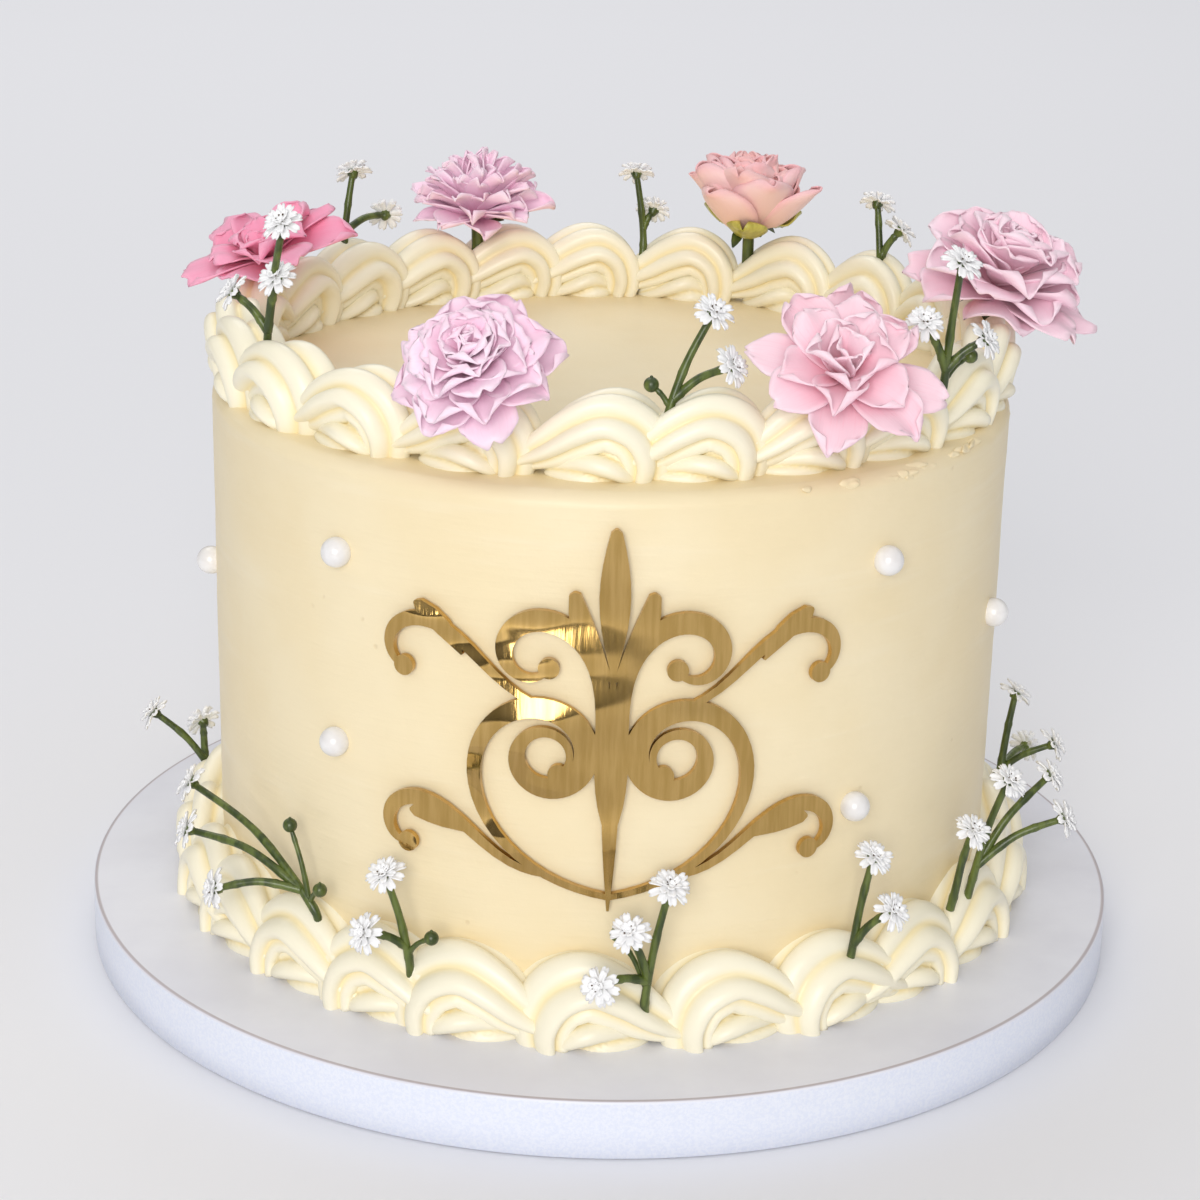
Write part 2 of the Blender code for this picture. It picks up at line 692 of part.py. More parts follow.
def ribbon(spine, widths, thick):
    """Flat strip along a spine of (across, up, heading) points."""
    rings = []
    for (across, up, heading), width in zip(spine, widths):
        side = Vector((-math.sin(heading), 0.0, math.cos(heading))) * 0.5 * width
        centre = Vector((across, 0.0, up))
        deep = Vector((0.0, 0.5 * thick, 0.0))
        rings.append([centre + side + deep, centre - side + deep,
                      centre - side - deep, centre + side - deep])
    return skin(rings)


def scroll_spine(start, heading, length, bend_start, bend_end):
    """Walk along a scroll whose bend grows faster and faster towards its curled end."""
    across, up = start
    turn = math.radians(heading)
    spine = [(across, up, turn)]
    reach = turned = 0.0
    strides = round(length / SCROLL_STRIDE)
    for stride in range(strides):
        bend = bend_start + (bend_end - bend_start) * ((stride + 0.5) / strides) ** 1.6
        turn += math.radians(bend) * SCROLL_STRIDE
        across += SCROLL_STRIDE * math.cos(turn)
        up += SCROLL_STRIDE * math.sin(turn)
        reach += SCROLL_STRIDE
        turned += abs(bend) * SCROLL_STRIDE
        if reach > SCROLL_REACH or turned > SCROLL_TURN or stride == strides - 1:
            spine.append((across, up, turn))
            reach = turned = 0.0
    return spine


def scroll_widths(count, broad):
    """Widths of a scroll, fine at both ends and broad between them."""
    swell = broad - FLOURISH_FINE
    return [FLOURISH_FINE + swell * math.sin(math.pi * (i / (count - 1)) ** 0.8) ** 2
            for i in range(count)]


def leaf_widths(count, broad):
    """Widths of a leaf, pointed at both ends."""
    swell = broad - LEAF_FINE
    return [LEAF_FINE + swell * math.sin(math.pi * i / (count - 1)) for i in range(count)]


def drop(across, up, thick):
    """Round end of a scroll."""
    bm = bmesh.new()
    bmesh.ops.create_cone(bm, cap_ends=True, segments=SCROLL_DROP_SIDES, radius1=SCROLL_DROP,
                          radius2=SCROLL_DROP, depth=thick)
    bm.transform(Matrix.Translation((across, 0.0, up)) @ Matrix.Rotation(math.pi / 2.0, 4, "X"))
    return bm


def make_flourish():
    """Gold scrollwork, mirrored left and right, wrapped round the front of the cake.

    Each strip is a little thicker than the one before, so that no two faces lie in one plane.
    """
    strips = []
    for start, heading, length, bend_start, bend_end, broad in SCROLLS:
        spine = scroll_spine(start, heading, length, bend_start, bend_end)
        strips.append((spine, scroll_widths(len(spine), broad), True))
    for start, heading, length, bend, broad in LEAVES:
        spine = scroll_spine(start, heading, length, bend, bend)
        strips.append((spine, leaf_widths(len(spine), broad), False))
    solids = []
    for mirror in (1.0, -1.0):
        for spine, widths, ends_round in strips:
            if mirror < 0.0:
                spine = [(-across, up, math.pi - heading) for across, up, heading in spine]
            thick = FLOURISH_THICKNESS + FLOURISH_STEP * len(solids)
            solids.append(finish("flourish", "gold", ribbon(spine, widths, thick)))
            if ends_round:
                end = drop(*spine[-1][:2], thick + 0.5 * FLOURISH_STEP)
                solids.append(finish("flourish", "gold", end))
    plate = solids[0]
    combine_closed(plate, solids[1:], "UNION", FLOURISH_FLAT)
    middle = CAKE_RADIUS + GAP + 0.5 * (FLOURISH_THICKNESS + FLOURISH_STEP * len(solids))
    for vert in plate.data.vertices:
        angle = FLOURISH_ANGLE + math.degrees(vert.co.x / middle)
        vert.co = polar(angle, middle - vert.co.y, FLOURISH_HEIGHT + vert.co.z)


def cake_cutter():
    """The cake grown by the gap, to cut a border clear of it."""
    return finish("cutter", "cake", round_body(cake_profile(GAP)))


def board_cutter():
    """Disc from the gap above the board down, to cut the foot border clear of the board."""
    profile = ((BOARD_RADIUS, BOARD_THICKNESS + GAP), (BOARD_RADIUS, 0.0))
    return finish("cutter", "board", round_body(profile))


def stem_cutters(high):
    """Holes for the stems that stand in the top border, or in the foot border."""
    cutters = []
    for name, root, florets, buds in SPRIGS:
        if (root[2] > CAKE_TOP) == high:
            for line in sprig_stems(root, florets, buds):
                radius = STEM_RADIUS + STEM_CLEARANCE
                bm = tube(line, (radius, radius), CUTTER_SIDES, stem_steps(line))
                cutters.append(finish("cutter", "stem", bm))
    if high:
        for name, centre, facing, ring, heart in FLOWERS:
            line = flower_stem(centre, flower_frame(centre, facing))
            deeper = (line[0], line[1] + (line[1] - line[0]).normalized() * GAP)
            radius = FLOWER_STEM + STEM_CLEARANCE
            bm = tube(deeper, (radius, radius), CUTTER_SIDES, 1)
            cutters.append(finish("cutter", "stem", bm))
    return cutters


def main():
    """Build every piece in millimetres, then scale it to metres."""
    for obj in list(bpy.data.objects):
        bpy.data.objects.remove(obj)
    make_board()
    make_cake()
    make_border("top_border", TOP_MARKS, TOP_TURNED, 1.0, top_radius, CAKE_TOP, TOP_SCALE,
                TOP_SLOPE, TOP_SEED, [cake_cutter()] + stem_cutters(True))
    make_border("foot_border", FOOT_MARKS, FOOT_TURNED, -1.0, foot_radius, BOARD_THICKNESS,
                FOOT_SCALE, FOOT_SLOPE, FOOT_SEED,
                [cake_cutter(), board_cutter()] + stem_cutters(False))
    for flower, seed in zip(FLOWERS, FLOWER_SEEDS):
        make_flower(*flower, random.Random(seed))
    for sprig in SPRIGS:
        make_sprig(*sprig)
    for number, (angle, height) in enumerate(PEARLS, 1):
        make_pearl(number, angle, height)
    make_flourish()
    for obj in bpy.data.objects:
        obj.data.transform(Matrix.Scale(METRES, 4))
        obj.data.shade_smooth()
        obj.data.set_sharp_from_angle(angle=math.radians(SHARP_ANGLE))


main()
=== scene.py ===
"""Looks of the celebration cake: icing, piped borders, flowers, sprigs, pearls, gold and board.

Lengths are in millimetres until a piece is finished, and directions are in degrees from the
front (-Y) towards +X, as in the CAD part. Finished meshes are in metres, in the CAD frame.
"""

import math
import random

import bmesh
import bpy
from mathutils import Matrix, Vector, noise


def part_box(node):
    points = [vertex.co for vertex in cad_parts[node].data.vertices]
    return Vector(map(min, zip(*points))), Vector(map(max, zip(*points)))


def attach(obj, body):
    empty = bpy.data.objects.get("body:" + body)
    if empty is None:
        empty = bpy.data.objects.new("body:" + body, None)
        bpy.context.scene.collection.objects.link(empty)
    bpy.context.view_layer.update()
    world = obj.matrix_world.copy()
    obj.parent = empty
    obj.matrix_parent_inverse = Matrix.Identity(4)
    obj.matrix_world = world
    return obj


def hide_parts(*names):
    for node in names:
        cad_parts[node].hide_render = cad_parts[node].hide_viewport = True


MM = 0.001

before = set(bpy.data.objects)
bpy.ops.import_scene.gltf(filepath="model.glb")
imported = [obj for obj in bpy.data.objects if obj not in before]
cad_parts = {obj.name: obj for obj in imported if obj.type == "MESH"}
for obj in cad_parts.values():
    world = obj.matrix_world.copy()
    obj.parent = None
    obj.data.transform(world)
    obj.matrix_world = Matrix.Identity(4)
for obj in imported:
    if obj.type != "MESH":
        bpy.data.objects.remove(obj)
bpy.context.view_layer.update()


def box_mm(node):
    """Lowest and highest corner of a CAD node in millimetres."""
    low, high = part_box(node)
    return low / MM, high / MM


# Driving sizes, read from the frame
BOARD_RADIUS = box_mm("board")[1].x
BOARD_TOP = box_mm("board")[1].z
CAKE_RADIUS = box_mm("cake")[1].x
CAKE_FOOT = box_mm("cake")[0].z
CAKE_TOP = box_mm("cake")[1].z
CAKE_EDGE = 3.0
SMEAR_SEED = 4
SMEAR_COUNT = 34
SMEAR_ANGLES = (24.0, 62.0)
BOARD_BEVEL = 0.6
TURN_STEPS = 256

# Studio: lamps in watts, and the sky's brightness at the horizon and overhead
KEY_WATTS = 34.0
BACK_WATTS = 12.0
SKY_LOW = 0.12
SKY_TOP = 0.74

# Photograph's camera, fitted to the board and the cake
CAMERA_PLACE = (-1.383, -592.199, 283.482)
CAMERA_ELEVATION = 19.477
CAMERA_ROLL = 1.358
CAMERA_LENS = 84.885

# One piped shell: along the border, height and rope radius, from its tail to its curl
SHELL_PATH = (
    (-20.5, 1.0, 1.0),
    (-16.0, 3.0, 3.2),
    (-10.5, 5.8, 5.2),
    (-5.0, 9.0, 6.4),
    (0.3, 10.6, 6.7),
    (4.9, 8.2, 6.4),
    (6.7, 3.6, 5.6),
    (5.9, -1.0, 4.6),
)
# Small curl in the pocket under the arch: along, height and radius
SHELL_EYE = ((-13.0, 0.3, 1.6), (-8.5, 1.2, 3.4), (-3.5, 2.2, 4.9), (1.0, 2.2, 4.9),
             (5.0, 0.5, 3.5))
SHELL_EYE_BROAD = 1.35
SHELL_EYE_ROPES = 5
SHELL_EYE_TWIST = 80.0
SHELL_ROPES = 6
SHELL_GROOVE = 0.40
SHELL_ROUND = 0.66
SHELL_BROAD = 1.12
SHELL_UNDERSIDE = 0.85
SHELL_TWIST = 25.0
SHELL_MIDDLE = 8.0
SHELL_COLUMNS = 66
SHELL_ROWS = 44
SHELL_WAVER = 0.035

# The two borders, with the marked angles of the shells that show in the photograph
TOP_HALF_X = 80.5
TOP_HALF_Y = 76.0
TOP_SHIFT = 3.8
TOP_MARKS = ((0, 0.1), (1, 15.6), (2, 32.8), (9, 147.9), (10, 166.5), (11, 183.9),
             (12, 197.6), (13, 212.6), (19, 302.1), (20, 319.9), (22, 360.1))
FOOT_RADIUS = 88.8
FOOT_MARKS = ((0, -2.3), (1, 15.6), (2, 31.0), (3, 47.0), (19, 290.4), (20, 301.3),
              (21, 316.2), (22, 329.9), (23, 341.6), (24, 357.7))

# Space around the top border's crest that flowers keep clear of
CREST_CENTRE = 6.0
CREST_HALF_WIDTH = 9.4
CREST_HALF_HEIGHT = 13.4

# Flowers: seed, centre (angle, radius, height), facing (angle, elevation) and rings of petals
# from the outside in (count, length, width, lift at the base, lift at the tip, cup, ruffle)
PETAL_STAGGER = 13.0
PETAL_THICKNESS = 0.35
# How pointed the petals of a flower end, from 0 for round
PETAL_POINT = {"flower_1": 0.15, "flower_2": 0.6, "flower_3": 0.0, "flower_4": 0.3,
               "flower_5": 0.12, "flower_6": 0.0}
# How much higher each ring of petals starts than the one outside it
PETAL_RISE = {"flower_3": 1.5, "flower_6": 2.0}
FLOWERS = {
    "flower_1": (1, (-106.0, 80.0, 144.0), (-60.0, 70.0), (
        (8, 21.5, 12.5, 10.0, 2.0, 0.25, 1.0),
        (6, 15.0, 10.0, 34.0, 18.0, 0.35, 1.2),
        (5, 10.5, 7.5, 56.0, 42.0, 0.5, 1.0),
        (3, 7.0, 5.0, 74.0, 66.0, 0.6, 0.6))),
    "flower_2": (1, (-156.0, 80.5, 143.5), (-10.0, 76.0), (
        (9, 18.0, 10.0, 16.0, 6.0, 0.3, 0.8),
        (12, 17.0, 6.6, 26.0, 22.0, 0.45, 0.9),
        (12, 17.0, 6.2, 42.0, 34.0, 0.5, 0.9),
        (10, 17.0, 6.0, 58.0, 50.0, 0.5, 0.9),
        (8, 17.0, 5.6, 72.0, 66.0, 0.5, 0.9),
        (5, 17.0, 5.2, 84.0, 82.0, 0.5, 0.8))),
    "flower_3": (7, (-19.8, 76.0, 143.5), (-10.0, 48.0), (
        (8, 17.5, 11.5, 12.0, 2.0, 0.2, 1.3),
        (8, 16.0, 11.5, 28.0, 12.0, 0.3, 1.2),
        (8, 14.0, 11.0, 42.0, 26.0, 0.35, 1.2),
        (7, 12.2, 10.5, 52.0, 40.0, 0.4, 1.1),
        (6, 10.0, 9.5, 62.0, 54.0, 0.45, 1.0),
        (4, 7.6, 7.5, 74.0, 70.0, 0.5, 0.8),
        (3, 5.4, 5.0, 84.0, 86.0, 0.5, 0.5))),
    "flower_4": (7, (156.5, 80.0, 140.5), (20.0, 86.0), (
        (7, 24.0, 15.0, 22.0, 62.0, 0.5, 0.6),
        (7, 22.5, 16.0, 34.0, 76.0, 0.5, 0.5),
        (7, 21.5, 15.0, 48.0, 84.0, 0.45, 0.6),
        (6, 20.5, 13.0, 62.0, 90.0, 0.4, 0.7),
        (5, 19.5, 10.0, 76.0, 96.0, 0.4, 0.8))),
    "flower_5": (2, (34.5, 78.0, 143.5), (8.0, 50.0), (
        (8, 20.0, 11.5, 10.0, 2.0, 0.25, 1.4),
        (6, 16.5, 10.5, 30.0, 22.0, 0.35, 1.5),
        (5, 13.5, 9.5, 52.0, 50.0, 0.35, 0.8),
        (4, 11.5, 8.0, 70.0, 78.0, 0.4, 0.6))),
    "flower_6": (5, (95.0, 82.0, 142.5), (40.0, 66.0), (
        (8, 22.5, 15.0, 12.0, 0.0, 0.2, 1.5),
        (8, 20.2, 15.0, 28.0, 14.0, 0.3, 1.3),
        (8, 17.6, 14.0, 42.0, 28.0, 0.35, 1.3),
        (7, 15.0, 13.0, 52.0, 42.0, 0.4, 1.2),
        (6, 12.2, 11.5, 64.0, 56.0, 0.45, 1.1),
        (4, 9.0, 8.5, 78.0, 74.0, 0.5, 0.8))),
}
FLOWER_STEM = 1.4
# Broad sepals under a flower: count, then their shape as for petals
SEPALS = {"flower_4": (3, 15.0, 10.5, 14.0, 46.0, 0.5, 0.3)}
SEPAL_TURN = 4.2

# Sprigs: where the stem leaves the icing, then its florets and buds
STEM_RADIUS = 0.95
STEM_BURIED = 5.0
BUD_STEM_RADIUS = 0.6
BUD_RADIUS = 1.5
FLORET_RADIUS = 4.7
SPRIGS = {
    "sprig_top_1": ((-62, 79, 140), ((-54.5, 80, 167), (-58, 79, 155), (-66, 84, 150)), ()),
    "sprig_top_2": ((-131, 83, 142), ((-133.5, 84, 157), (-140, 84, 146)), ()),
    "sprig_top_3": ((175, 80, 139), ((176.5, 81, 154), (173.5, 82, 145)), ()),
    "sprig_top_4": ((130.5, 81, 139), ((133, 83, 153), (128.5, 84, 147.5)), ()),
    "sprig_top_5": ((54.5, 81, 138), ((53.6, 84, 163), (50.5, 79, 151), (57.5, 87, 147)),
                    ((59.5, 83, 142.5),)),
    "sprig_top_6": ((8.6, 73, 138), ((15.6, 70, 156), (18.2, 72, 146)), ((5.9, 72, 143),)),
    "sprig_foot_1": ((-102, 94, 23), ((-100.3, 106, 37), (-107, 99, 31)), ()),
    "sprig_foot_2": ((-40, 91, 31), ((-61.2, 98, 48), (-57.1, 102, 41), (-49.7, 103, 33)),
                     ((-44.1, 91, 47), (-38.0, 92, 36))),
    "sprig_foot_3": ((-24, 93, 28), ((-26.9, 94, 45), (-27.8, 99, 34)), ((-20.6, 94, 33.5),)),
    "sprig_foot_4": ((5.7, 95, 26), ((8.3, 94, 48), (3.4, 98, 40.5), (0.2, 101, 30.5)),
                     ((2.2, 92.5, 37.5),)),
    "sprig_foot_5": ((33.2, 93, 27), ((35.3, 94, 48), (36.0, 99, 38)), ()),
    "sprig_foot_6": ((52.8, 93, 32), ((52.7, 96, 46),), ()),
    "sprig_foot_7": ((57.5, 93, 32), ((57.8, 99, 55), (66, 103, 52), (63.5, 108, 45)), ()),
    "sprig_foot_8": ((101.8, 94, 26), ((99.4, 106, 35), (102.5, 98, 46), (107, 105, 29)), ()),
    "sprig_foot_9": ((-150, 93, 27), ((-147, 95, 47), (-154, 100, 36)), ((-144.5, 93, 37),)),
    "sprig_foot_10": ((149, 93, 27), ((152.5, 95, 47), (145, 100, 37)), ((154.5, 93, 34),)),
}

# Sugar pearls: angle and height on the cake's side
PEARL_RADIUS = 3.05
PEARL_CENTRE = 86.7
PEARLS = ((-81.7, 85.6), (-37.8, 106.9), (-38.4, 66.7), (39.3, 107.4), (71.0, 83.4),
          (35.8, 56.3), (112.0, 101.0), (142.0, 62.0), (178.0, 96.0), (-142.0, 62.0))

# Gold flourish, mirrored: start (across, up), heading, length, bend at its start and at its
# curled end in degrees for each millimetre, and its broadest width
FLOURISH_ANGLE = 1.0
FLOURISH_HEIGHT = 80.0
FLOURISH_THICKNESS = 1.2
FLOURISH_GAP = 0.3
FLOURISH_FINE = 1.3
SCROLL_DROP = 2.1
SCROLLS = (
    ((0.0, -37.0), 170.0, 118.0, -1.2, -13.0, 4.8),
    ((0.0, -24.0), 112.0, 74.0, -2.0, 14.0, 4.4),
    ((-13.0, -32.6), 176.0, 46.0, -3.6, 16.5, 3.2),
    ((-13.0, 2.5), 165.0, 46.0, -3.0, 15.0, 3.0),
)
LEAVES = (
    ((0.0, -40.0), 90.0, 52.0, 0.0, 3.4),
    ((0.0, 9.0), 90.0, 30.0, 0.0, 6.0),
    ((0.0, 8.0), 128.0, 20.0, -1.5, 4.6),
    ((-27.0, -25.4), 155.0, 14.0, 2.0, 4.0),
    ((-29.5, 11.6), 122.0, 14.0, 2.2, 3.8),
)
SCROLL_STRIDE = 0.25
SCROLL_REACH = 3.0
SCROLL_TURN = 7.0
ORDER_WEIGHTS = Vector((1.0, 3.1, 7.7))


def polar(angle, radius, height):
    """Point at an angle from the front, a distance from the cake's axis and a height."""
    turn = math.radians(angle)
    return Vector((radius * math.sin(turn), -radius * math.cos(turn), height))


def outward(angle, elevation):
    """Unit direction that faces an angle from the front and rises by the elevation."""
    rise = math.radians(elevation)
    return polar(angle, math.cos(rise), math.sin(rise))


def smooth_point(points, t):
    """Point at t, from 0 to 1, on the smooth curve through the given points."""
    spans = len(points) - 1
    index = min(int(t * spans), spans - 1)
    local = t * spans - index
    before = Vector(points[max(index - 1, 0)])
    start = Vector(points[index])
    end = Vector(points[index + 1])
    after = Vector(points[min(index + 2, spans)])
    return 0.5 * (2.0 * start + (end - before) * local
                  + (2.0 * before - 5.0 * start + 4.0 * end - after) * local ** 2
                  + (3.0 * start - before - 3.0 * end + after) * local ** 3)


def heading_at(points, t):
    """Direction of the smooth curve at t."""
    return smooth_point(points, min(t + 0.02, 1.0)) - smooth_point(points, max(t - 0.02, 0.0))


# Mesh helpers

def new_shape():
    """Empty bmesh with the marks that the materials read: along, across and tone."""
    bm = bmesh.new()
    for mark in ("along", "across", "tone"):
        bm.verts.layers.float.new(mark)
    return bm


def mark(bm, vert, along, across, tone):
    """Write the three marks on a corner."""
    layers = bm.verts.layers.float
    vert[layers["along"]] = along
    vert[layers["across"]] = across
    vert[layers["tone"]] = tone


def add_grid(bm, columns, rows, place, tone=0.0):
    """Grid whose corners go where place(u, v) says, u across and v along from 0 to 1.

    The tone is one number, or a function of u and v.
    """
    made = bmesh.ops.create_grid(bm, x_segments=columns, y_segments=rows, size=0.5)["verts"]
    for vert in made:
        u, v = vert.co.x + 0.5, vert.co.y + 0.5
        mark(bm, vert, v, abs(2.0 * u - 1.0), tone(u, v) if callable(tone) else tone)
        vert.co = place(u, v)


def add_skin(bm, rings, tone=0.0):
    """Closed tube through rings of points, each with the same number of corners."""
    corner = bm.verts.layers.int.get("corner") or bm.verts.layers.int.new("corner")
    verts = bmesh.ops.create_circle(bm, segments=len(rings[0]), radius=1.0)["verts"]
    for number, vert in enumerate(verts):
        vert[corner] = number
        vert.co = rings[0][number]
        mark(bm, vert, 0.0, number / len(verts), tone)
    edges = list(dict.fromkeys(edge for vert in verts for edge in vert.link_edges))
    bmesh.ops.contextual_create(bm, geom=edges)
    for number, ring in enumerate(rings[1:], 1):
        grown = bmesh.ops.extrude_edge_only(bm, edges=edges)["geom"]
        edges = [item for item in grown if isinstance(item, bmesh.types.BMEdge)]
        for item in grown:
            if isinstance(item, bmesh.types.BMVert):
                item.co = ring[item[corner]]
                mark(bm, item, number / (len(rings) - 1), item[corner] / len(ring), tone)
    bmesh.ops.contextual_create(bm, geom=edges)


def add_tube(bm, points, radius_at, sides, steps, tone=0.0):
    """Round stem through the points; radius_at(t) gives its radius."""
    rings = []
    side = None
    for step in range(steps + 1):
        t = step / steps
        along = heading_at(points, t)
        if side is None:
            side = along.orthogonal()
        side = (side - along * side.dot(along) / along.length_squared).normalized()
        other = along.normalized().cross(side)
        centre = smooth_point(points, t)
        turns = [2.0 * math.pi * number / sides for number in range(sides)]
        rings.append([centre + radius_at(t) * (math.cos(a) * side + math.sin(a) * other)
                      for a in turns])
    add_skin(bm, rings, tone)


def add_ball(bm, centre, radius, detail, tone=0.0):
    """Round ball with an even net of faces."""
    made = bmesh.ops.create_icosphere(bm, subdivisions=detail, radius=radius)["verts"]
    for vert in made:
        mark(bm, vert, 0.5 + 0.5 * vert.co.z / radius, 0.0, tone)
        vert.co += centre


def turned_body(profile, steps=TURN_STEPS):
    """Turn a profile of (radius, height) points that starts and ends on the axis."""
    bm = new_shape()
    verts = [bm.verts.new((radius, 0.0, height)) for radius, height in profile]
    edges = [bm.edges.new(pair) for pair in zip(verts, verts[1:])]
    bmesh.ops.spin(bm, geom=verts + edges, angle=2.0 * math.pi, steps=steps,
                   axis=(0.0, 0.0, 1.0), cent=(0.0, 0.0, 0.0), use_merge=True)
    bmesh.ops.remove_doubles(bm, verts=bm.verts, dist=0.001)
    return bm


def arc(centre, radius, start, end, steps):
    """Points of a quarter round or other arc in the (radius, height) plane."""
    points = []
    for step in range(steps + 1):
        turn = math.radians(start + (end - start) * step / steps)
        points.append((centre[0] + radius * math.cos(turn), centre[1] + radius * math.sin(turn)))
    return points


def finish(name, bm, materials, nodes, outward_faces=True):
    """Turn a bmesh into a piece in metres that rides the cake and stands for CAD nodes."""
    if outward_faces:
        bmesh.ops.recalc_face_normals(bm, faces=bm.faces)
    bmesh.ops.scale(bm, verts=bm.verts, vec=(MM, MM, MM))
    mesh = bpy.data.meshes.new(name)
    bm.to_mesh(mesh)
    bm.free()
    mesh.shade_smooth()
    for material in materials:
        mesh.materials.append(material)
    piece = bpy.data.objects.new(name, mesh)
    bpy.context.scene.collection.objects.link(piece)
    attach(piece, "root")
    if nodes:
        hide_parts(*nodes)
    return piece


def thicken(piece, thickness):
    """Give a thin piece its two faces, with the modelled face in the middle."""
    solidify = piece.modifiers.new("thickness", "SOLIDIFY")
    solidify.thickness = thickness * MM
    solidify.offset = 0.0


# Material helpers

def add(tree, kind, settings=None, **inputs):
    """Add a node and fill its inputs with values or links."""
    made = tree.nodes.new(kind)
    for key, value in (settings or {}).items():
        setattr(made, key, value)
    for key, value in inputs.items():
        socket = made.inputs[key.replace("_", " ")]
        if isinstance(value, bpy.types.NodeSocket):
            tree.links.new(value, socket)
        else:
            socket.default_value = value
    return made


def mix(tree, factor, first, second, how="MIX"):
    """Mix of two colours, each a value or a link."""
    made = tree.nodes.new("ShaderNodeMix")
    made.data_type = "RGBA"
    made.blend_type = how
    for index, value in ((0, factor), (6, first), (7, second)):
        if isinstance(value, bpy.types.NodeSocket):
            tree.links.new(value, made.inputs[index])
        elif index == 0:
            made.inputs[index].default_value = value
        else:
            made.inputs[index].default_value = (*value, 1.0)
    return made.outputs[2]


def calc(tree, operation, first, second=0.0, third=0.0):
    """Arithmetic on values or links."""
    made = tree.nodes.new("ShaderNodeMath")
    made.operation = operation
    for socket, value in zip(made.inputs, (first, second, third)):
        if isinstance(value, bpy.types.NodeSocket):
            tree.links.new(value, socket)
        else:
            socket.default_value = value
    return made.outputs[0]


def fade(tree, value, start, end, low=0.0, high=1.0):
    """Run a value smoothly from low at start to high at end."""
    made = add(tree, "ShaderNodeMapRange", {"interpolation_type": "SMOOTHSTEP"}, Value=value,
               From_Min=start, From_Max=end, To_Min=low, To_Max=high)
    return made.outputs["Result"]


def place_of(tree):
    """Object coordinates, in metres."""
    return add(tree, "ShaderNodeTexCoord").outputs["Object"]


def mark_of(tree, name):
    """One of the marks written on a piece's corners."""
    return add(tree, "ShaderNodeAttribute", {"attribute_name": name}).outputs["Fac"]


def speckle(tree, vector, scale, detail=2.0, roughness=0.5):
    """Soft noise from 0 to 1."""
    return add(tree, "ShaderNodeTexNoise", Vector=vector, Scale=scale, Detail=detail,
               Roughness=roughness).outputs["Fac"]


def stretched(tree, vector, scale):
    """Coordinates scaled differently on each axis."""
    return add(tree, "ShaderNodeMapping", Vector=vector, Scale=scale).outputs["Vector"]


def new_group(name, inputs, outputs):
    """Empty shader node group with the given value sockets."""
    tree = bpy.data.node_groups.new(name, "ShaderNodeTree")
    for label, kind in inputs:
        tree.interface.new_socket(label, in_out="INPUT", socket_type=kind)
    for label, kind in outputs:
        tree.interface.new_socket(label, in_out="OUTPUT", socket_type=kind)
    return tree, tree.nodes.new("NodeGroupInput"), tree.nodes.new("NodeGroupOutput")


def use_group(tree, group, **inputs):
    """Node that runs a group in a material."""
    return add(tree, "ShaderNodeGroup", {"node_tree": group}, **inputs)


def new_material(name, **fixed):
    """Material with a Principled shader whose fixed values are set on its own sockets."""
    material = bpy.data.materials.new(name)
    material.use_nodes = True
    shader = material.node_tree.nodes["Principled BSDF"]
    for key, value in fixed.items():
        shader.inputs[key.replace("_", " ")].default_value = value
    return material, material.node_tree, shader


def bump(tree, shader, height, strength, distance):
    """Raise the surface's fine detail, distance in millimetres."""
    made = add(tree, "ShaderNodeBump", Height=height, Strength=strength, Distance=distance * MM)
    tree.links.new(made.outputs["Normal"], shader.inputs["Normal"])


def radius_of(tree):
    """Distance from the cake's axis, in metres."""
    split = add(tree, "ShaderNodeSeparateXYZ", Vector=place_of(tree)).outputs
    square = calc(tree, "MULTIPLY_ADD", split["X"], split["X"],
                  calc(tree, "MULTIPLY", split["Y"], split["Y"]))
    return calc(tree, "SQRT", square)


# Materials

def buttercream_group():
    """Fine relief of buttercream: soft lumps, tiny pits and specks, as one height."""
    tree, given, result = new_group("buttercream", [("Vector", "NodeSocketVector")],
                                    [("Height", "NodeSocketFloat"), ("Pits", "NodeSocketFloat")])
    vector = given.outputs["Vector"]
    lumps = speckle(tree, vector, 260.0, 3.0, 0.55)
    grain = speckle(tree, vector, 1500.0, 2.0, 0.6)
    cells = add(tree, "ShaderNodeTexVoronoi", Vector=vector, Scale=210.0, Randomness=1.0)
    chosen = fade(tree, speckle(tree, vector, 120.0, 1.0), 0.62, 0.70)
    pits = calc(tree, "MULTIPLY", fade(tree, cells.outputs["Distance"], 0.16, 0.05), chosen)
    height = calc(tree, "MULTIPLY_ADD", grain, 0.18, lumps)
    tree.links.new(calc(tree, "SUBTRACT", height, calc(tree, "MULTIPLY", pits, 0.8)),
                   result.inputs["Height"])
    tree.links.new(pits, result.inputs["Pits"])
    return tree


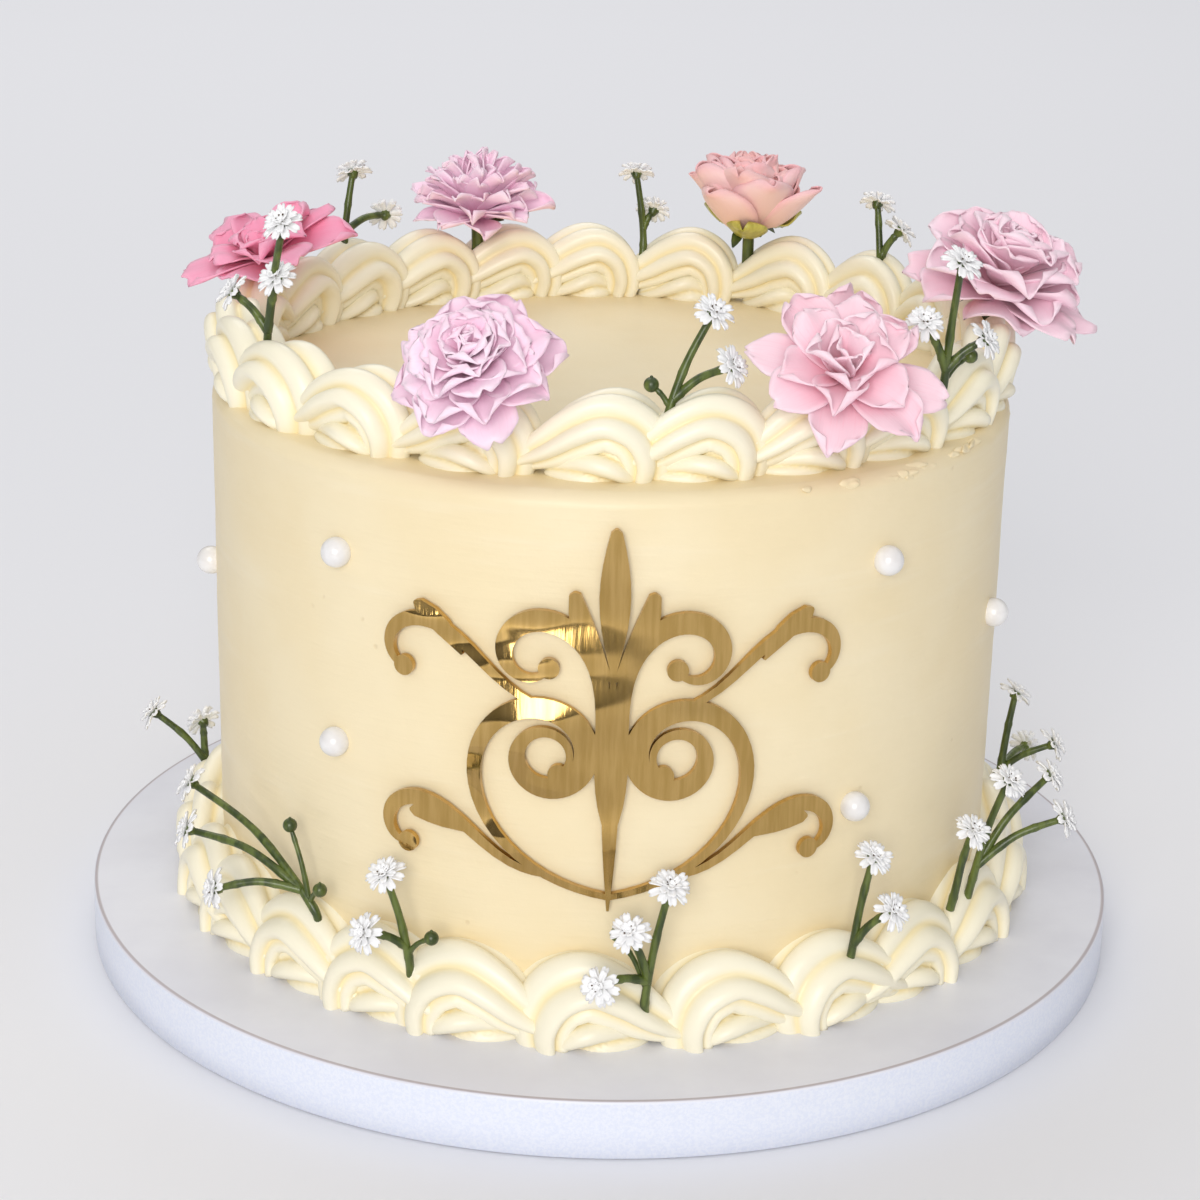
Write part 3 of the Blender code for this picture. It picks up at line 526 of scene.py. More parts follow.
def icing_material(cream):
    """Cream-coloured icing of the cake, smoothed round and round with a scraper."""
    material, tree, shader = new_material(
        "icing_cream", Roughness=0.42, Specular_IOR_Level=0.42)
    streaks = speckle(tree, stretched(tree, place_of(tree), (14.0, 14.0, 160.0)), 1.0, 4.0, 0.6)
    blotches = speckle(tree, place_of(tree), 28.0, 3.0, 0.55)
    colour = mix(tree, fade(tree, blotches, 0.35, 0.7), (0.865, 0.730, 0.470),
                 (0.885, 0.765, 0.520))
    pale = fade(tree, streaks, 0.55, 0.8, 0.0, 0.35)
    colour = mix(tree, pale, colour, (0.92, 0.83, 0.64))
    relief = use_group(tree, cream, Vector=place_of(tree)).outputs
    # Painted shade: the tiny pits of the relief are painted darker and browner
    colour = mix(tree, calc(tree, "MULTIPLY", relief["Pits"], 0.35), colour, (0.66, 0.50, 0.28))
    tree.links.new(colour, shader.inputs["Base Color"])
    total = calc(tree, "MULTIPLY_ADD", streaks, 2.2, calc(tree, "MULTIPLY", relief["Height"], 0.7))
    bump(tree, shader, total, 0.55, 0.30)
    return material


def piping_material(cream):
    """Ivory piping with painted shade, darker and warmer between its ropes than on them."""
    material, tree, shader = new_material(
        "piping_ivory", Roughness=0.33, Specular_IOR_Level=0.5)
    # Painted shade: darker and warmer colour the deeper a point lies between the ropes
    groove_shade = fade(tree, mark_of(tree, "tone"), 0.25, 0.95)
    relief = use_group(tree, cream, Vector=place_of(tree)).outputs
    colour = mix(tree, groove_shade, (0.935, 0.880, 0.700), (0.935, 0.790, 0.440))
    patches = fade(tree, speckle(tree, place_of(tree), 60.0, 2.0), 0.4, 0.75, 0.0, 0.35)
    colour = mix(tree, patches, colour, (0.93, 0.875, 0.69))
    tree.links.new(colour, shader.inputs["Base Color"])
    bump(tree, shader, relief["Height"], 0.35, 0.12)
    return material


def board_top_material():
    """Pale paper of the board's top, faintly marbled, with the thin line near its rim."""
    material, tree, shader = new_material("board_paper", Roughness=0.34)
    radius = radius_of(tree)
    cloud = speckle(tree, place_of(tree), 22.0, 5.0, 0.6)
    colour = mix(tree, fade(tree, cloud, 0.35, 0.7), (0.75, 0.755, 0.83), (0.82, 0.83, 0.90))
    edge = BOARD_RADIUS * MM
    line = calc(tree, "MULTIPLY", fade(tree, radius, edge - 0.0011, edge - 0.0007),
                fade(tree, radius, edge - 0.0001, edge - 0.0004))
    colour = mix(tree, calc(tree, "MULTIPLY", line, 0.75), colour, (0.40, 0.33, 0.34))
    tree.links.new(colour, shader.inputs["Base Color"])
    bump(tree, shader, speckle(tree, place_of(tree), 900.0, 3.0), 0.2, 0.05)
    return material


def board_edge_material():
    """Bluish white wrap round the board's edge, finely speckled."""
    material, tree, shader = new_material("board_wrap", Roughness=0.38)
    specks = speckle(tree, place_of(tree), 1400.0, 2.0, 0.7)
    colour = mix(tree, fade(tree, specks, 0.35, 0.65), (0.74, 0.78, 0.90), (0.80, 0.83, 0.92))
    tree.links.new(colour, shader.inputs["Base Color"])
    bump(tree, shader, specks, 0.3, 0.05)
    return material


def petal_group():
    """Colour of a petal: deep at its base, light towards its end, tinted edge and fine veins."""
    tree, given, result = new_group(
        "petal_colour", [("Light", "NodeSocketColor"), ("Deep", "NodeSocketColor"),
                         ("Edge", "NodeSocketColor")],
        [("Color", "NodeSocketColor"), ("Height", "NodeSocketFloat")])
    along, across, tone = (mark_of(tree, name) for name in ("along", "across", "tone"))
    body = fade(tree, along, 0.0, 0.75)
    colour = mix(tree, body, given.outputs["Deep"], given.outputs["Light"])
    rim = calc(tree, "MAXIMUM", fade(tree, along, 0.86, 1.0), fade(tree, across, 0.72, 1.0))
    colour = mix(tree, calc(tree, "MULTIPLY", rim, 0.5), colour, given.outputs["Edge"])
    lines = add(tree, "ShaderNodeCombineXYZ", X=calc(tree, "MULTIPLY", across, 9.0),
                Y=calc(tree, "MULTIPLY", along, 1.6), Z=calc(tree, "MULTIPLY", tone, 30.0))
    veins = speckle(tree, lines.outputs["Vector"], 1.6, 3.0, 0.6)
    colour = mix(tree, fade(tree, veins, 0.5, 0.8, 0.0, 0.25), colour, given.outputs["Deep"])
    colour = mix(tree, calc(tree, "MULTIPLY", tone, 0.30), colour, given.outputs["Deep"])
    tree.links.new(colour, result.inputs["Color"])
    tree.links.new(veins, result.inputs["Height"])
    return tree


def petal_material(name, group, light, deep, edge):
    """Soft matte petal."""
    material, tree, shader = new_material(
        name, Roughness=0.55, Sheen_Weight=0.2, Sheen_Roughness=0.4, Specular_IOR_Level=0.3)
    paint = use_group(tree, group, Light=(*light, 1.0), Deep=(*deep, 1.0), Edge=(*edge, 1.0))
    tree.links.new(paint.outputs["Color"], shader.inputs["Base Color"])
    bump(tree, shader, paint.outputs["Height"], 0.35, 0.12)
    return material


def green_material(name, dark, light):
    """Glossy green of stems, buds and leaves, lighter in streaks."""
    material, tree, shader = new_material(name, Roughness=0.34, Coat_Weight=0.15)
    streak = speckle(tree, stretched(tree, place_of(tree), (500.0, 500.0, 120.0)), 1.0, 3.0)
    colour = mix(tree, fade(tree, streak, 0.35, 0.7), dark, light)
    tree.links.new(colour, shader.inputs["Base Color"])
    bump(tree, shader, streak, 0.3, 0.1)
    return material


def white_floret_material():
    """White of the small flowers, with painted shade making them greyer deep inside."""
    material, tree, shader = new_material("floret_white", Roughness=0.55)
    # Painted shade: each petal greyer towards its base, deep in the floret
    depth = fade(tree, mark_of(tree, "along"), 0.0, 0.5)
    colour = mix(tree, depth, (0.76, 0.76, 0.72), (0.93, 0.93, 0.94))
    tree.links.new(colour, shader.inputs["Base Color"])
    return material


def pearl_material():
    """White sugar shell with a soft gloss and faint cloudiness."""
    material, tree, shader = new_material("pearl_sugar", Roughness=0.22, Coat_Weight=0.35,
                                          Coat_Roughness=0.15)
    cloud = speckle(tree, place_of(tree), 350.0, 3.0)
    colour = mix(tree, fade(tree, cloud, 0.3, 0.7), (0.80, 0.78, 0.77), (0.86, 0.85, 0.85))
    tree.links.new(colour, shader.inputs["Base Color"])
    bump(tree, shader, cloud, 0.15, 0.1)
    return material


def gold_material():
    """Polished gold sheet, mirror bright on the left and satin on the right, slightly wavy."""
    material, tree, shader = new_material("gold_foil", Metallic=1.0)
    split = add(tree, "ShaderNodeSeparateXYZ", Vector=place_of(tree)).outputs
    satin = fade(tree, split["X"], -0.024, 0.026)
    streaks = speckle(tree, stretched(tree, place_of(tree), (700.0, 700.0, 60.0)), 1.0, 3.0, 0.6)
    colour = mix(tree, fade(tree, streaks, 0.3, 0.75), (0.50, 0.32, 0.10), (0.62, 0.41, 0.15))
    tree.links.new(colour, shader.inputs["Base Color"])
    tree.links.new(calc(tree, "MULTIPLY_ADD", satin, 0.20, 0.10), shader.inputs["Roughness"])
    waves = speckle(tree, stretched(tree, place_of(tree), (30.0, 30.0, 52.0)), 1.0, 1.0, 0.4)
    depth = calc(tree, "MULTIPLY_ADD", satin, -0.82, 1.0)
    fine = calc(tree, "MULTIPLY", streaks, 0.004)
    bump(tree, shader, calc(tree, "MULTIPLY_ADD", waves, depth, fine), 1.0, 14.0)
    return material


def plain_material(name, colour, roughness):
    """Even finish for tiny inner details: dark dots standing for shade in floret centres."""
    material, tree, shader = new_material(name, Roughness=roughness)
    grain = speckle(tree, place_of(tree), 2000.0, 2.0)
    darker = tuple(0.8 * value for value in colour)
    tree.links.new(mix(tree, grain, darker, colour), shader.inputs["Base Color"])
    return material


# Board and cake

def make_board(top_paper, edge_wrap):
    """Thick round board: papered top, wrapped edge, soft rims."""
    inner = BOARD_RADIUS - BOARD_BEVEL
    profile = [(0.0, BOARD_TOP), (60.0, BOARD_TOP), (100.0, BOARD_TOP)]
    profile += arc((inner, BOARD_TOP - BOARD_BEVEL), BOARD_BEVEL, 90.0, 0.0, 6)
    profile += [(BOARD_RADIUS, 0.5 * BOARD_TOP), (BOARD_RADIUS, 0.4), (inner, 0.0), (0.0, 0.0)]
    bm = turned_body(profile)
    bmesh.ops.recalc_face_normals(bm, faces=bm.faces)
    for face in bm.faces:
        face.material_index = 0 if face.normal.z > 0.35 else 1
    finish("cake_board", bm, [top_paper, edge_wrap], ["board"])


def make_cake(icing):
    """Iced cake, its face a little uneven from the scraper and its top edge faintly lipped."""
    edge = CAKE_EDGE
    flat = CAKE_RADIUS - edge
    profile = [(flat * step / 26.0, CAKE_TOP) for step in range(26)]
    profile += arc((flat, CAKE_TOP - edge), edge, 90.0, 0.0, 8)
    rows = 44
    drop = CAKE_TOP - edge - CAKE_FOOT
    profile += [(CAKE_RADIUS, CAKE_TOP - edge - drop * (step + 1) / rows) for step in range(rows)]
    profile += [(0.0, CAKE_FOOT)]
    bm = turned_body(profile)
    bm.normal_update()
    centre = Vector((0.0, 0.0, CAKE_TOP))
    for vert in bm.verts:
        if vert.co.z <= CAKE_FOOT + 0.01:
            continue
        side = Vector((vert.co.x, vert.co.y, 0.0))
        reach = side.length
        soft = noise.noise(vert.co * 0.035) * 0.16 + noise.noise(vert.co * 0.11) * 0.05
        banded = noise.noise(Vector((vert.co.x * 0.03, vert.co.y * 0.03, vert.co.z * 0.35))) * 0.06
        if reach > flat - 1.0 and vert.co.z > CAKE_TOP - 2.6:
            soft += 0.16 * noise.noise(vert.co * 0.45) + 0.10
        direction = side.normalized() if reach > flat + 1.0 else (vert.co - centre)
        if reach <= flat + 1.0:
            direction = Vector((0.0, 0.0, 1.0))
        vert.co += direction * (soft + banded)
    finish("iced_cake", bm, [icing], ["cake"])


def make_smears(icing):
    """Shaved bits and smears of icing left on the rim below the top border, at the front right."""
    rng = random.Random(SMEAR_SEED)
    bm = new_shape()
    for number in range(SMEAR_COUNT):
        angle = rng.uniform(*SMEAR_ANGLES)
        spot = polar(angle, CAKE_RADIUS - rng.uniform(0.5, 1.6), CAKE_TOP - rng.uniform(0.3, 2.2))
        facing = outward(angle + rng.uniform(-20.0, 20.0), rng.uniform(20.0, 60.0))
        turn = facing.to_track_quat("Z", "Y").to_matrix().to_4x4()
        size = Matrix.Diagonal((rng.uniform(1.2, 3.0), rng.uniform(0.5, 0.9), 0.4, 1.0))
        bmesh.ops.create_icosphere(bm, subdivisions=3, radius=1.0,
                                   matrix=Matrix.Translation(spot) @ turn @ size)
    for vert in bm.verts:
        spot = vert.co * 0.9
        vert.co += 0.22 * Vector((noise.noise(spot), noise.noise(spot.yzx), noise.noise(spot.zxy)))
    finish("icing_smears", bm, [icing], [])


# Piped borders

def top_radius(angle):
    """Distance from the cake's axis to the middle of the top border."""
    turn = math.radians(angle)
    square = (math.sin(turn) / TOP_HALF_X) ** 2 + (math.cos(turn) / TOP_HALF_Y) ** 2
    linear = 2.0 * math.cos(turn) * TOP_SHIFT / TOP_HALF_Y ** 2
    fixed = (TOP_SHIFT / TOP_HALF_Y) ** 2 - 1.0
    return (-linear + math.sqrt(linear ** 2 - 4.0 * square * fixed)) / (2.0 * square)


def foot_radius(angle):
    """Distance from the cake's axis to the middle of the foot border."""
    return FOOT_RADIUS


BORDERS = {
    "top_border": {"marks": TOP_MARKS, "turned": (95.0, 255.0), "hand": 1.0,
                   "radius": top_radius, "base": CAKE_TOP, "scale": 1.0, "slope": 0.0,
                   "seed": 11},
    "foot_border": {"marks": FOOT_MARKS, "turned": (38.0, 200.0), "hand": -1.0,
                    "radius": foot_radius, "base": BOARD_TOP, "scale": 1.1, "slope": 0.25,
                    "seed": 23},
}


def shell_angle(marks, index):
    """Angle of a shell, evenly spaced between the marked ones."""
    for (first, start), (last, end) in zip(marks, marks[1:]):
        if first <= index <= last:
            return start + (end - start) * (index - first) / (last - first)


def add_shell(bm, border, angle, hand, lean, swell):
    """One shell of ropes that rises from a tail, arches over and curls down."""
    scale, slope, base = border["scale"], border["slope"], border["base"]
    ring_radius = border["radius"]
    middle = ring_radius(angle)
    spine = []
    for row in range(SHELL_ROWS + 1):
        t = row / SHELL_ROWS
        ahead = heading_at(SHELL_PATH, t)
        along, height, radius = smooth_point(SHELL_PATH, t) * scale
        if row in (0, SHELL_ROWS):
            radius = 0.0
        spine.append(((along, height, radius), math.atan2(ahead[1], ahead[0])))

    def place(u, v):
        (along, height, radius), heading = spine[round(v * SHELL_ROWS)]
        turn = 2.0 * math.pi * u
        around = turn + math.radians(SHELL_TWIST) * (v - 0.5)
        rope = abs(math.cos(SHELL_ROPES * math.pi * u)) ** SHELL_ROUND
        spot = Vector((angle + 1.5 * math.cos(turn), 5.0 * v, lean * 9.0 + 1.5 * math.sin(turn)))
        waver = 1.0 + SHELL_WAVER * noise.noise(spot)
        reach = swell * waver * radius * (1.0 - SHELL_GROOVE + SHELL_GROOVE * rope)
        across = SHELL_BROAD * reach * math.cos(around)
        above = reach * math.sin(around)
        if above < 0.0:
            above *= SHELL_UNDERSIDE
        rise = height + above * math.cos(heading)
        run = along - above * math.sin(heading) - lean * across
        across -= slope * (rise - SHELL_MIDDLE)
        spot = angle + hand * math.degrees(run / middle)
        return polar(spot, ring_radius(spot) + across, base + rise)

    # Depth between the ropes, written as tone; the piping material paints shade by it
    def depth(u, v):
        return 1.0 - abs(math.cos(SHELL_ROPES * math.pi * u)) ** SHELL_ROUND

    add_grid(bm, SHELL_COLUMNS, SHELL_ROWS, place, depth)


def add_shell_eye(bm, border, angle, hand, swell):
    """Small ridged curl that fills the pocket under a shell's arch."""
    scale, base, ring_radius = border["scale"], border["base"], border["radius"]
    middle = ring_radius(angle)

    def rope_at(u, v):
        turns = SHELL_EYE_ROPES * u + math.radians(SHELL_EYE_TWIST) * v
        return abs(math.cos(math.pi * turns)) ** SHELL_ROUND

    def place(u, v):
        along, height, radius = smooth_point(SHELL_EYE, v) * scale
        radius *= math.sqrt(1.0 - abs(2.0 * v - 1.0) ** 6)
        around = 2.0 * math.pi * u
        reach = swell * radius * (1.0 - SHELL_GROOVE + SHELL_GROOVE * rope_at(u, v))
        across = SHELL_EYE_BROAD * reach * math.cos(around)
        spot = angle + hand * math.degrees(along / middle)
        return polar(spot, ring_radius(spot) + across, base + height + reach * math.sin(around))

    # Tone is the depth between the ropes, which the piping material paints as shade
    add_grid(bm, 48, 20, place, lambda u, v: 1.0 - rope_at(u, v))


def make_border(name, piping):
    """Ring of piped shells, with the same tilt and swell for each as the CAD border."""
    border = BORDERS[name]
    rng = random.Random(border["seed"])
    bm = new_shape()
    for index in range(border["marks"][-1][0]):
        angle = shell_angle(border["marks"], index) % 360.0
        flip = -1.0 if border["turned"][0] < angle < border["turned"][1] else 1.0
        lean = rng.uniform(0.1, 0.45)
        swell = rng.uniform(0.95, 1.06)
        add_shell(bm, border, angle, border["hand"] * flip, lean, swell)
        add_shell_eye(bm, border, angle, border["hand"] * flip, swell)
    bmesh.ops.remove_doubles(bm, verts=bm.verts, dist=0.002)
    finish(name.replace("border", "piping"), bm, [piping], [name])


# Flowers

def clear_of_crest(point):
    """Push a point out of the space that the top border takes."""
    angle = math.degrees(math.atan2(point.x, -point.y))
    middle = top_radius(angle)
    across = math.hypot(point.x, point.y) - middle
    above = point.z - CAKE_TOP - CREST_CENTRE
    inside = math.hypot(across / CREST_HALF_WIDTH, above / CREST_HALF_HEIGHT)
    if inside >= 1.0 or above < -CREST_CENTRE:
        return point
    grow = 1.0 / max(inside, 0.2)
    return polar(angle, middle + across * grow, CAKE_TOP + CREST_CENTRE + above * grow)


def flower_frame(centre, facing):
    """Matrix that puts a flower, opening towards +Z, in its place."""
    turn = outward(*facing).to_track_quat("Z", "Y").to_matrix().to_4x4()
    return Matrix.Translation(polar(*centre)) @ turn


def add_petal(bm, shape, azimuth, frame_matrix, rng, point=0.0, columns=12, rows=14):
    """Petal that widens from its base to a rounded or pointed, ruffled end."""
    length, width, low, high, cup, ruffle = shape
    start = math.radians(low)
    bend = math.radians(high - low)
    phase, second_phase = rng.uniform(0.0, 6.3), rng.uniform(0.0, 6.3)
    tilt = rng.uniform(-0.22, 0.22)
    notch = rng.uniform(0.0, 0.10)
    curl = rng.uniform(0.4, 1.6)
    tone = rng.random()

    def place(u, v):
        across = 2.0 * u - 1.0
        reach = v * (1.0 - 0.16 * (1.0 - point) * v ** 3 * across ** 4
                     - notch * v ** 8 * (1.0 - abs(across)) ** 2)
        rise = start + bend * reach
        out = length * (math.sin(rise) - math.sin(start)) / bend
        up = -length * (math.cos(rise) - math.cos(start)) / bend
        widen = 0.14 + 0.86 * math.sin(0.5 * math.pi * min(v / 0.62, 1.0))
        knee = 0.76 - 0.24 * point
        end = (1.0 - (max(0.0, v - knee) / (1.02 - knee)) ** 2) ** (0.5 + 0.6 * point)
        side = 0.5 * width * widen * end * across
        lift = cup * 0.5 * width * across ** 2 * widen
        lift += ruffle * v ** 2 * math.sin(2.6 * across + phase)
        lift += 0.4 * ruffle * v ** 3 * math.sin(4.6 * across + second_phase)
        lift -= curl * v ** 6
        lift += tilt * side
        out -= lift * math.sin(rise)
        up += lift * math.cos(rise)
        spot = frame_matrix @ Vector((out * math.cos(azimuth) - side * math.sin(azimuth),
                                      out * math.sin(azimuth) + side * math.cos(azimuth), up))
        return clear_of_crest(spot)

    add_grid(bm, columns, rows, place, tone)


def flower_stem(centre, frame_matrix):
    """Short straight stem from the heart of the flower down into the border."""
    heart = frame_matrix @ Vector((0.0, 0.0, 2.0))
    foot = polar(centre[0], top_radius(centre[0]), CAKE_TOP + CREST_CENTRE + 3.4)
    return heart, foot + (foot - heart).normalized() * 2.0


def make_flower(name, petals, green, lime):
    """One bloom: rings of petals round its heart, on a short stem with a green calyx."""
    seed, centre, facing, rings = FLOWERS[name]
    frame_matrix = flower_frame(centre, facing)
    rng = random.Random(seed)
    detail = random.Random(100 + seed)
    bm = new_shape()
    for level, (count, *shape) in enumerate(rings):
        first = rng.uniform(0.0, 2.0 * math.pi)
        lifted = frame_matrix @ Matrix.Translation((0.0, 0.0, level * PETAL_RISE.get(name, 0.0)))
        for number in range(count):
            own = list(shape)
            own[0] *= rng.uniform(0.9, 1.08)
            own[2] += PETAL_STAGGER * (number % 2) * (1.0 if level == 0 else 0.45)
            turn = first + 2.0 * math.pi * (number + rng.uniform(-0.12, 0.12)) / count
            if level:
                own[2] += detail.uniform(-6.0, 6.0)
                own[3] += detail.uniform(-6.0, 6.0) + 0.3
            add_petal(bm, own, turn, lifted, detail, PETAL_POINT[name])
    flower = finish(name.replace("flower", "bloom"), bm, [petals], [name], False)
    thicken(flower, PETAL_THICKNESS)
    stalk = new_shape()
    line = flower_stem(centre, frame_matrix)
    add_tube(stalk, line, lambda t: FLOWER_STEM, 12, 4)
    for number in range(5):
        add_petal(stalk, (6.5, 3.0, 6.0, -14.0, 0.2, 0.2), 2.0 * math.pi * number / 5.0,
                  frame_matrix @ Matrix.Translation((0.0, 0.0, -1.2)), detail, 0.9, 5, 6)
    finish(name.replace("flower", "calyx"), stalk, [green], [], False)
    if name in SEPALS:
        sheath = new_shape()
        count, *shape = SEPALS[name]
        for number in range(count):
            azimuth = SEPAL_TURN + 2.0 * math.pi * number / count
            add_petal(sheath, shape, azimuth, frame_matrix @ Matrix.Translation((0.0, 0.0, -0.6)),
                      detail, 0.4)
        sheath = finish(name.replace("flower", "sepals"), sheath, [lime], [], False)
        thicken(sheath, PETAL_THICKNESS)


# Sprigs

def sprig_stems(root, florets, buds):
    """Stem lines of a sprig: the main stem first, then a branch to each floret and bud."""
    base = polar(*root)
    buried = polar(root[0], root[1] - 1.0, root[2] - STEM_BURIED)
    lines = []
    for number, tip in enumerate(florets + buds):
        end = polar(*tip)
        start = base
        if lines:
            start = smooth_point(lines[0], 0.42 if number < len(florets) else 0.36)
        chord = end - start
        bow = Vector((0.0, 0.0, 1.0)) - chord * chord.z / chord.length_squared
        middle = start + 0.5 * chord + bow * 0.10 * chord.length
        lines.append((buried, base, middle, end) if not lines else (start, middle, end))
    return lines


def floret_facing(line):
    """Florets turn from the end of their stem a little outwards and up."""
    along = (line[-1] - line[-2]).normalized()
    away = Vector((line[-1].x, line[-1].y, 0.0)).normalized()
    return (0.6 * along + 0.55 * away + Vector((0.0, 0.0, 0.35))).normalized()


# Rings of a floret's petals: count, length and width as shares of its radius, lifts in degrees
FLORET_RINGS = ((9, 1.0, 0.37, 2.0, -14.0), (8, 0.92, 0.35, 32.0, 16.0),
                (5, 0.66, 0.30, 58.0, 48.0), (3, 0.42, 0.26, 78.0, 76.0))


def add_floret(bm, centre, direction, rng):
    """Small double flower of narrow toothed petals."""
    turn = direction.to_track_quat("Z", "Y").to_matrix().to_4x4()
    frame_matrix = Matrix.Translation(centre) @ turn
    for count, reach, broad, low, high in FLORET_RINGS:
        first = rng.uniform(0.0, 6.3)
        for number in range(count):
            length = FLORET_RADIUS * reach * rng.uniform(0.88, 1.04)
            shape = (length, FLORET_RADIUS * broad * rng.uniform(0.85, 1.1),
                     low + rng.uniform(-8.0, 8.0), high + rng.uniform(-8.0, 8.0), 0.5, 0.12)
            azimuth = first + 2.0 * math.pi * (number + rng.uniform(-0.15, 0.15)) / count
            add_small_petal(bm, shape, azimuth, frame_matrix, rng.random())


def add_small_petal(bm, shape, azimuth, frame_matrix, tone):
    """Spoon-shaped petal with a toothed end."""
    length, width, low, high, cup, ruffle = shape
    start, bend = math.radians(low), math.radians(high - low + 0.5)

    def place(u, v):
        across = 2.0 * u - 1.0
        notch = 0.16 * v ** 6 * (1.0 - abs(across)) ** 2
        reach = v * (1.0 - 0.14 * v * across ** 4) - notch
        rise = start + bend * reach
        out = length * (math.sin(rise) - math.sin(start)) / bend
        up = -length * (math.cos(rise) - math.cos(start)) / bend
        side = 0.5 * width * (0.34 + 0.66 * math.sin(0.62 * math.pi * v)) * across
        lift = cup * 0.5 * width * across ** 2 - 0.25 * v ** 4
        out -= lift * math.sin(rise)
        up += lift * math.cos(rise)
        return frame_matrix @ Vector((out * math.cos(azimuth) - side * math.sin(azimuth),
                                      out * math.sin(azimuth) + side * math.cos(azimuth), up))

    add_grid(bm, 4, 5, place, tone)


def make_sprig(name, white, green, dark):
    """Forked stem with its calyxes and buds, and the white florets on it."""
    root, florets, buds = SPRIGS[name]
    rng = random.Random(name)
    lines = sprig_stems(root, florets, buds)
    stems = new_shape()
    flowers = new_shape()
    hole_shade_dots = new_shape()
    for number, line in enumerate(lines):
        budding = number >= len(florets)
        radius = BUD_STEM_RADIUS if budding else STEM_RADIUS
        knots = [rng.uniform(0.15, 0.35), rng.uniform(0.55, 0.8)]

        def thickness(t):
            swollen = sum(math.exp(-((t - knot) / 0.035) ** 2) for knot in knots)
            return radius * (1.0 - 0.25 * t + 0.16 * swollen)

        add_tube(stems, line, thickness, 12, 22, rng.random())
        tip = line[-1]
        if budding:
            add_ball(stems, tip, BUD_RADIUS, 3, rng.random())
            add_ball(stems, tip + Vector((0.0, 0.0, BUD_RADIUS)), 0.35, 2)
            continue
        facing = floret_facing(line)
        calyx = (tip - facing * 1.4, tip - facing * 0.4, tip + facing * 0.5)
        add_tube(stems, calyx, lambda t: 0.75 + 0.9 * t, 12, 4, rng.random())
        add_floret(flowers, tip, facing, rng)
        # Dark dots round the centre stand for the shade in the floret's small holes
        for dot in range(6):
            spin = math.radians(60.0 * dot + rng.uniform(-15.0, 15.0))
            side = facing.orthogonal().normalized()
            other = facing.cross(side)
            spot = tip + facing * 1.5 + 1.0 * (math.cos(spin) * side + math.sin(spin) * other)
            add_ball(hole_shade_dots, spot, 0.24, 1)
    short = name.replace("sprig_", "")
    finish(f"stem_{short}", stems, [green], [name])
    blossom = finish(f"florets_{short}", flowers, [white], [], False)
    thicken(blossom, 0.26)
    finish(f"floret_hearts_{short}", hole_shade_dots, [dark], [])


# Pearls and gold

def make_pearls(sugar):
    """Sugar pearls pressed into the side of the cake."""
    for number, (angle, height) in enumerate(PEARLS, 1):
        bm = new_shape()
        add_ball(bm, polar(angle, PEARL_CENTRE, height), PEARL_RADIUS, 5)
        finish(f"sugar_pearl_{number}", bm, [sugar], [f"pearl_{number}"])


def scroll_spine(start, heading, length, bend_start, bend_end):
    """Walk along a scroll whose bend grows faster and faster towards its curled end."""
    across, up = start
    turn = math.radians(heading)
    spine = [(across, up, turn)]
    reach = turned = 0.0
    strides = round(length / SCROLL_STRIDE)
    for stride in range(strides):
        bend = bend_start + (bend_end - bend_start) * ((stride + 0.5) / strides) ** 1.6
        turn += math.radians(bend) * SCROLL_STRIDE
        across += SCROLL_STRIDE * math.cos(turn)
        up += SCROLL_STRIDE * math.sin(turn)
        reach += SCROLL_STRIDE
        turned += abs(bend) * SCROLL_STRIDE
        if reach > SCROLL_REACH or turned > SCROLL_TURN or stride == strides - 1:
            spine.append((across, up, turn))
            reach = turned = 0.0
    return spine


def scroll_widths(count, broad):
    """Widths of a scroll, fine at both ends and broad between them."""
    swell = broad - FLOURISH_FINE
    return [FLOURISH_FINE + swell * math.sin(math.pi * (i / (count - 1)) ** 0.8) ** 2
            for i in range(count)]


def leaf_widths(count, broad):
    """Widths of a leaf, pointed at both ends."""
    return [0.5 + (broad - 0.5) * math.sin(math.pi * i / (count - 1)) for i in range(count)]


def add_ribbon(bm, spine, widths, thick):
    """Flat strip along a spine of (across, up, heading) points."""
    rings = []
    for (across, up, heading), width in zip(spine, widths):
        side = Vector((-math.sin(heading), 0.0, math.cos(heading))) * 0.5 * width
        centre = Vector((across, 0.0, up))
        deep = Vector((0.0, 0.5 * thick, 0.0))
        rings.append([centre + side + deep, centre - side + deep,
                      centre - side - deep, centre + side - deep])
    add_skin(bm, rings)


def settle_order(bm):
    """Order corners, edges and faces by their place, so that a union comes out alike each run."""
    bm.verts.sort(key=lambda vert: vert.co.dot(ORDER_WEIGHTS))
    bm.edges.sort(key=lambda edge: (edge.verts[0].co + edge.verts[1].co).dot(ORDER_WEIGHTS))
    bm.faces.sort(key=lambda face: face.calc_center_median().dot(ORDER_WEIGHTS))


def loose_solid(bm):
    """Object that only takes part in a union."""
    bmesh.ops.recalc_face_normals(bm, faces=bm.faces)
    settle_order(bm)
    mesh = bpy.data.meshes.new("strip")
    bm.to_mesh(mesh)
    bm.free()
    solid = bpy.data.objects.new("strip", mesh)
    bpy.context.scene.collection.objects.link(solid)
    return solid


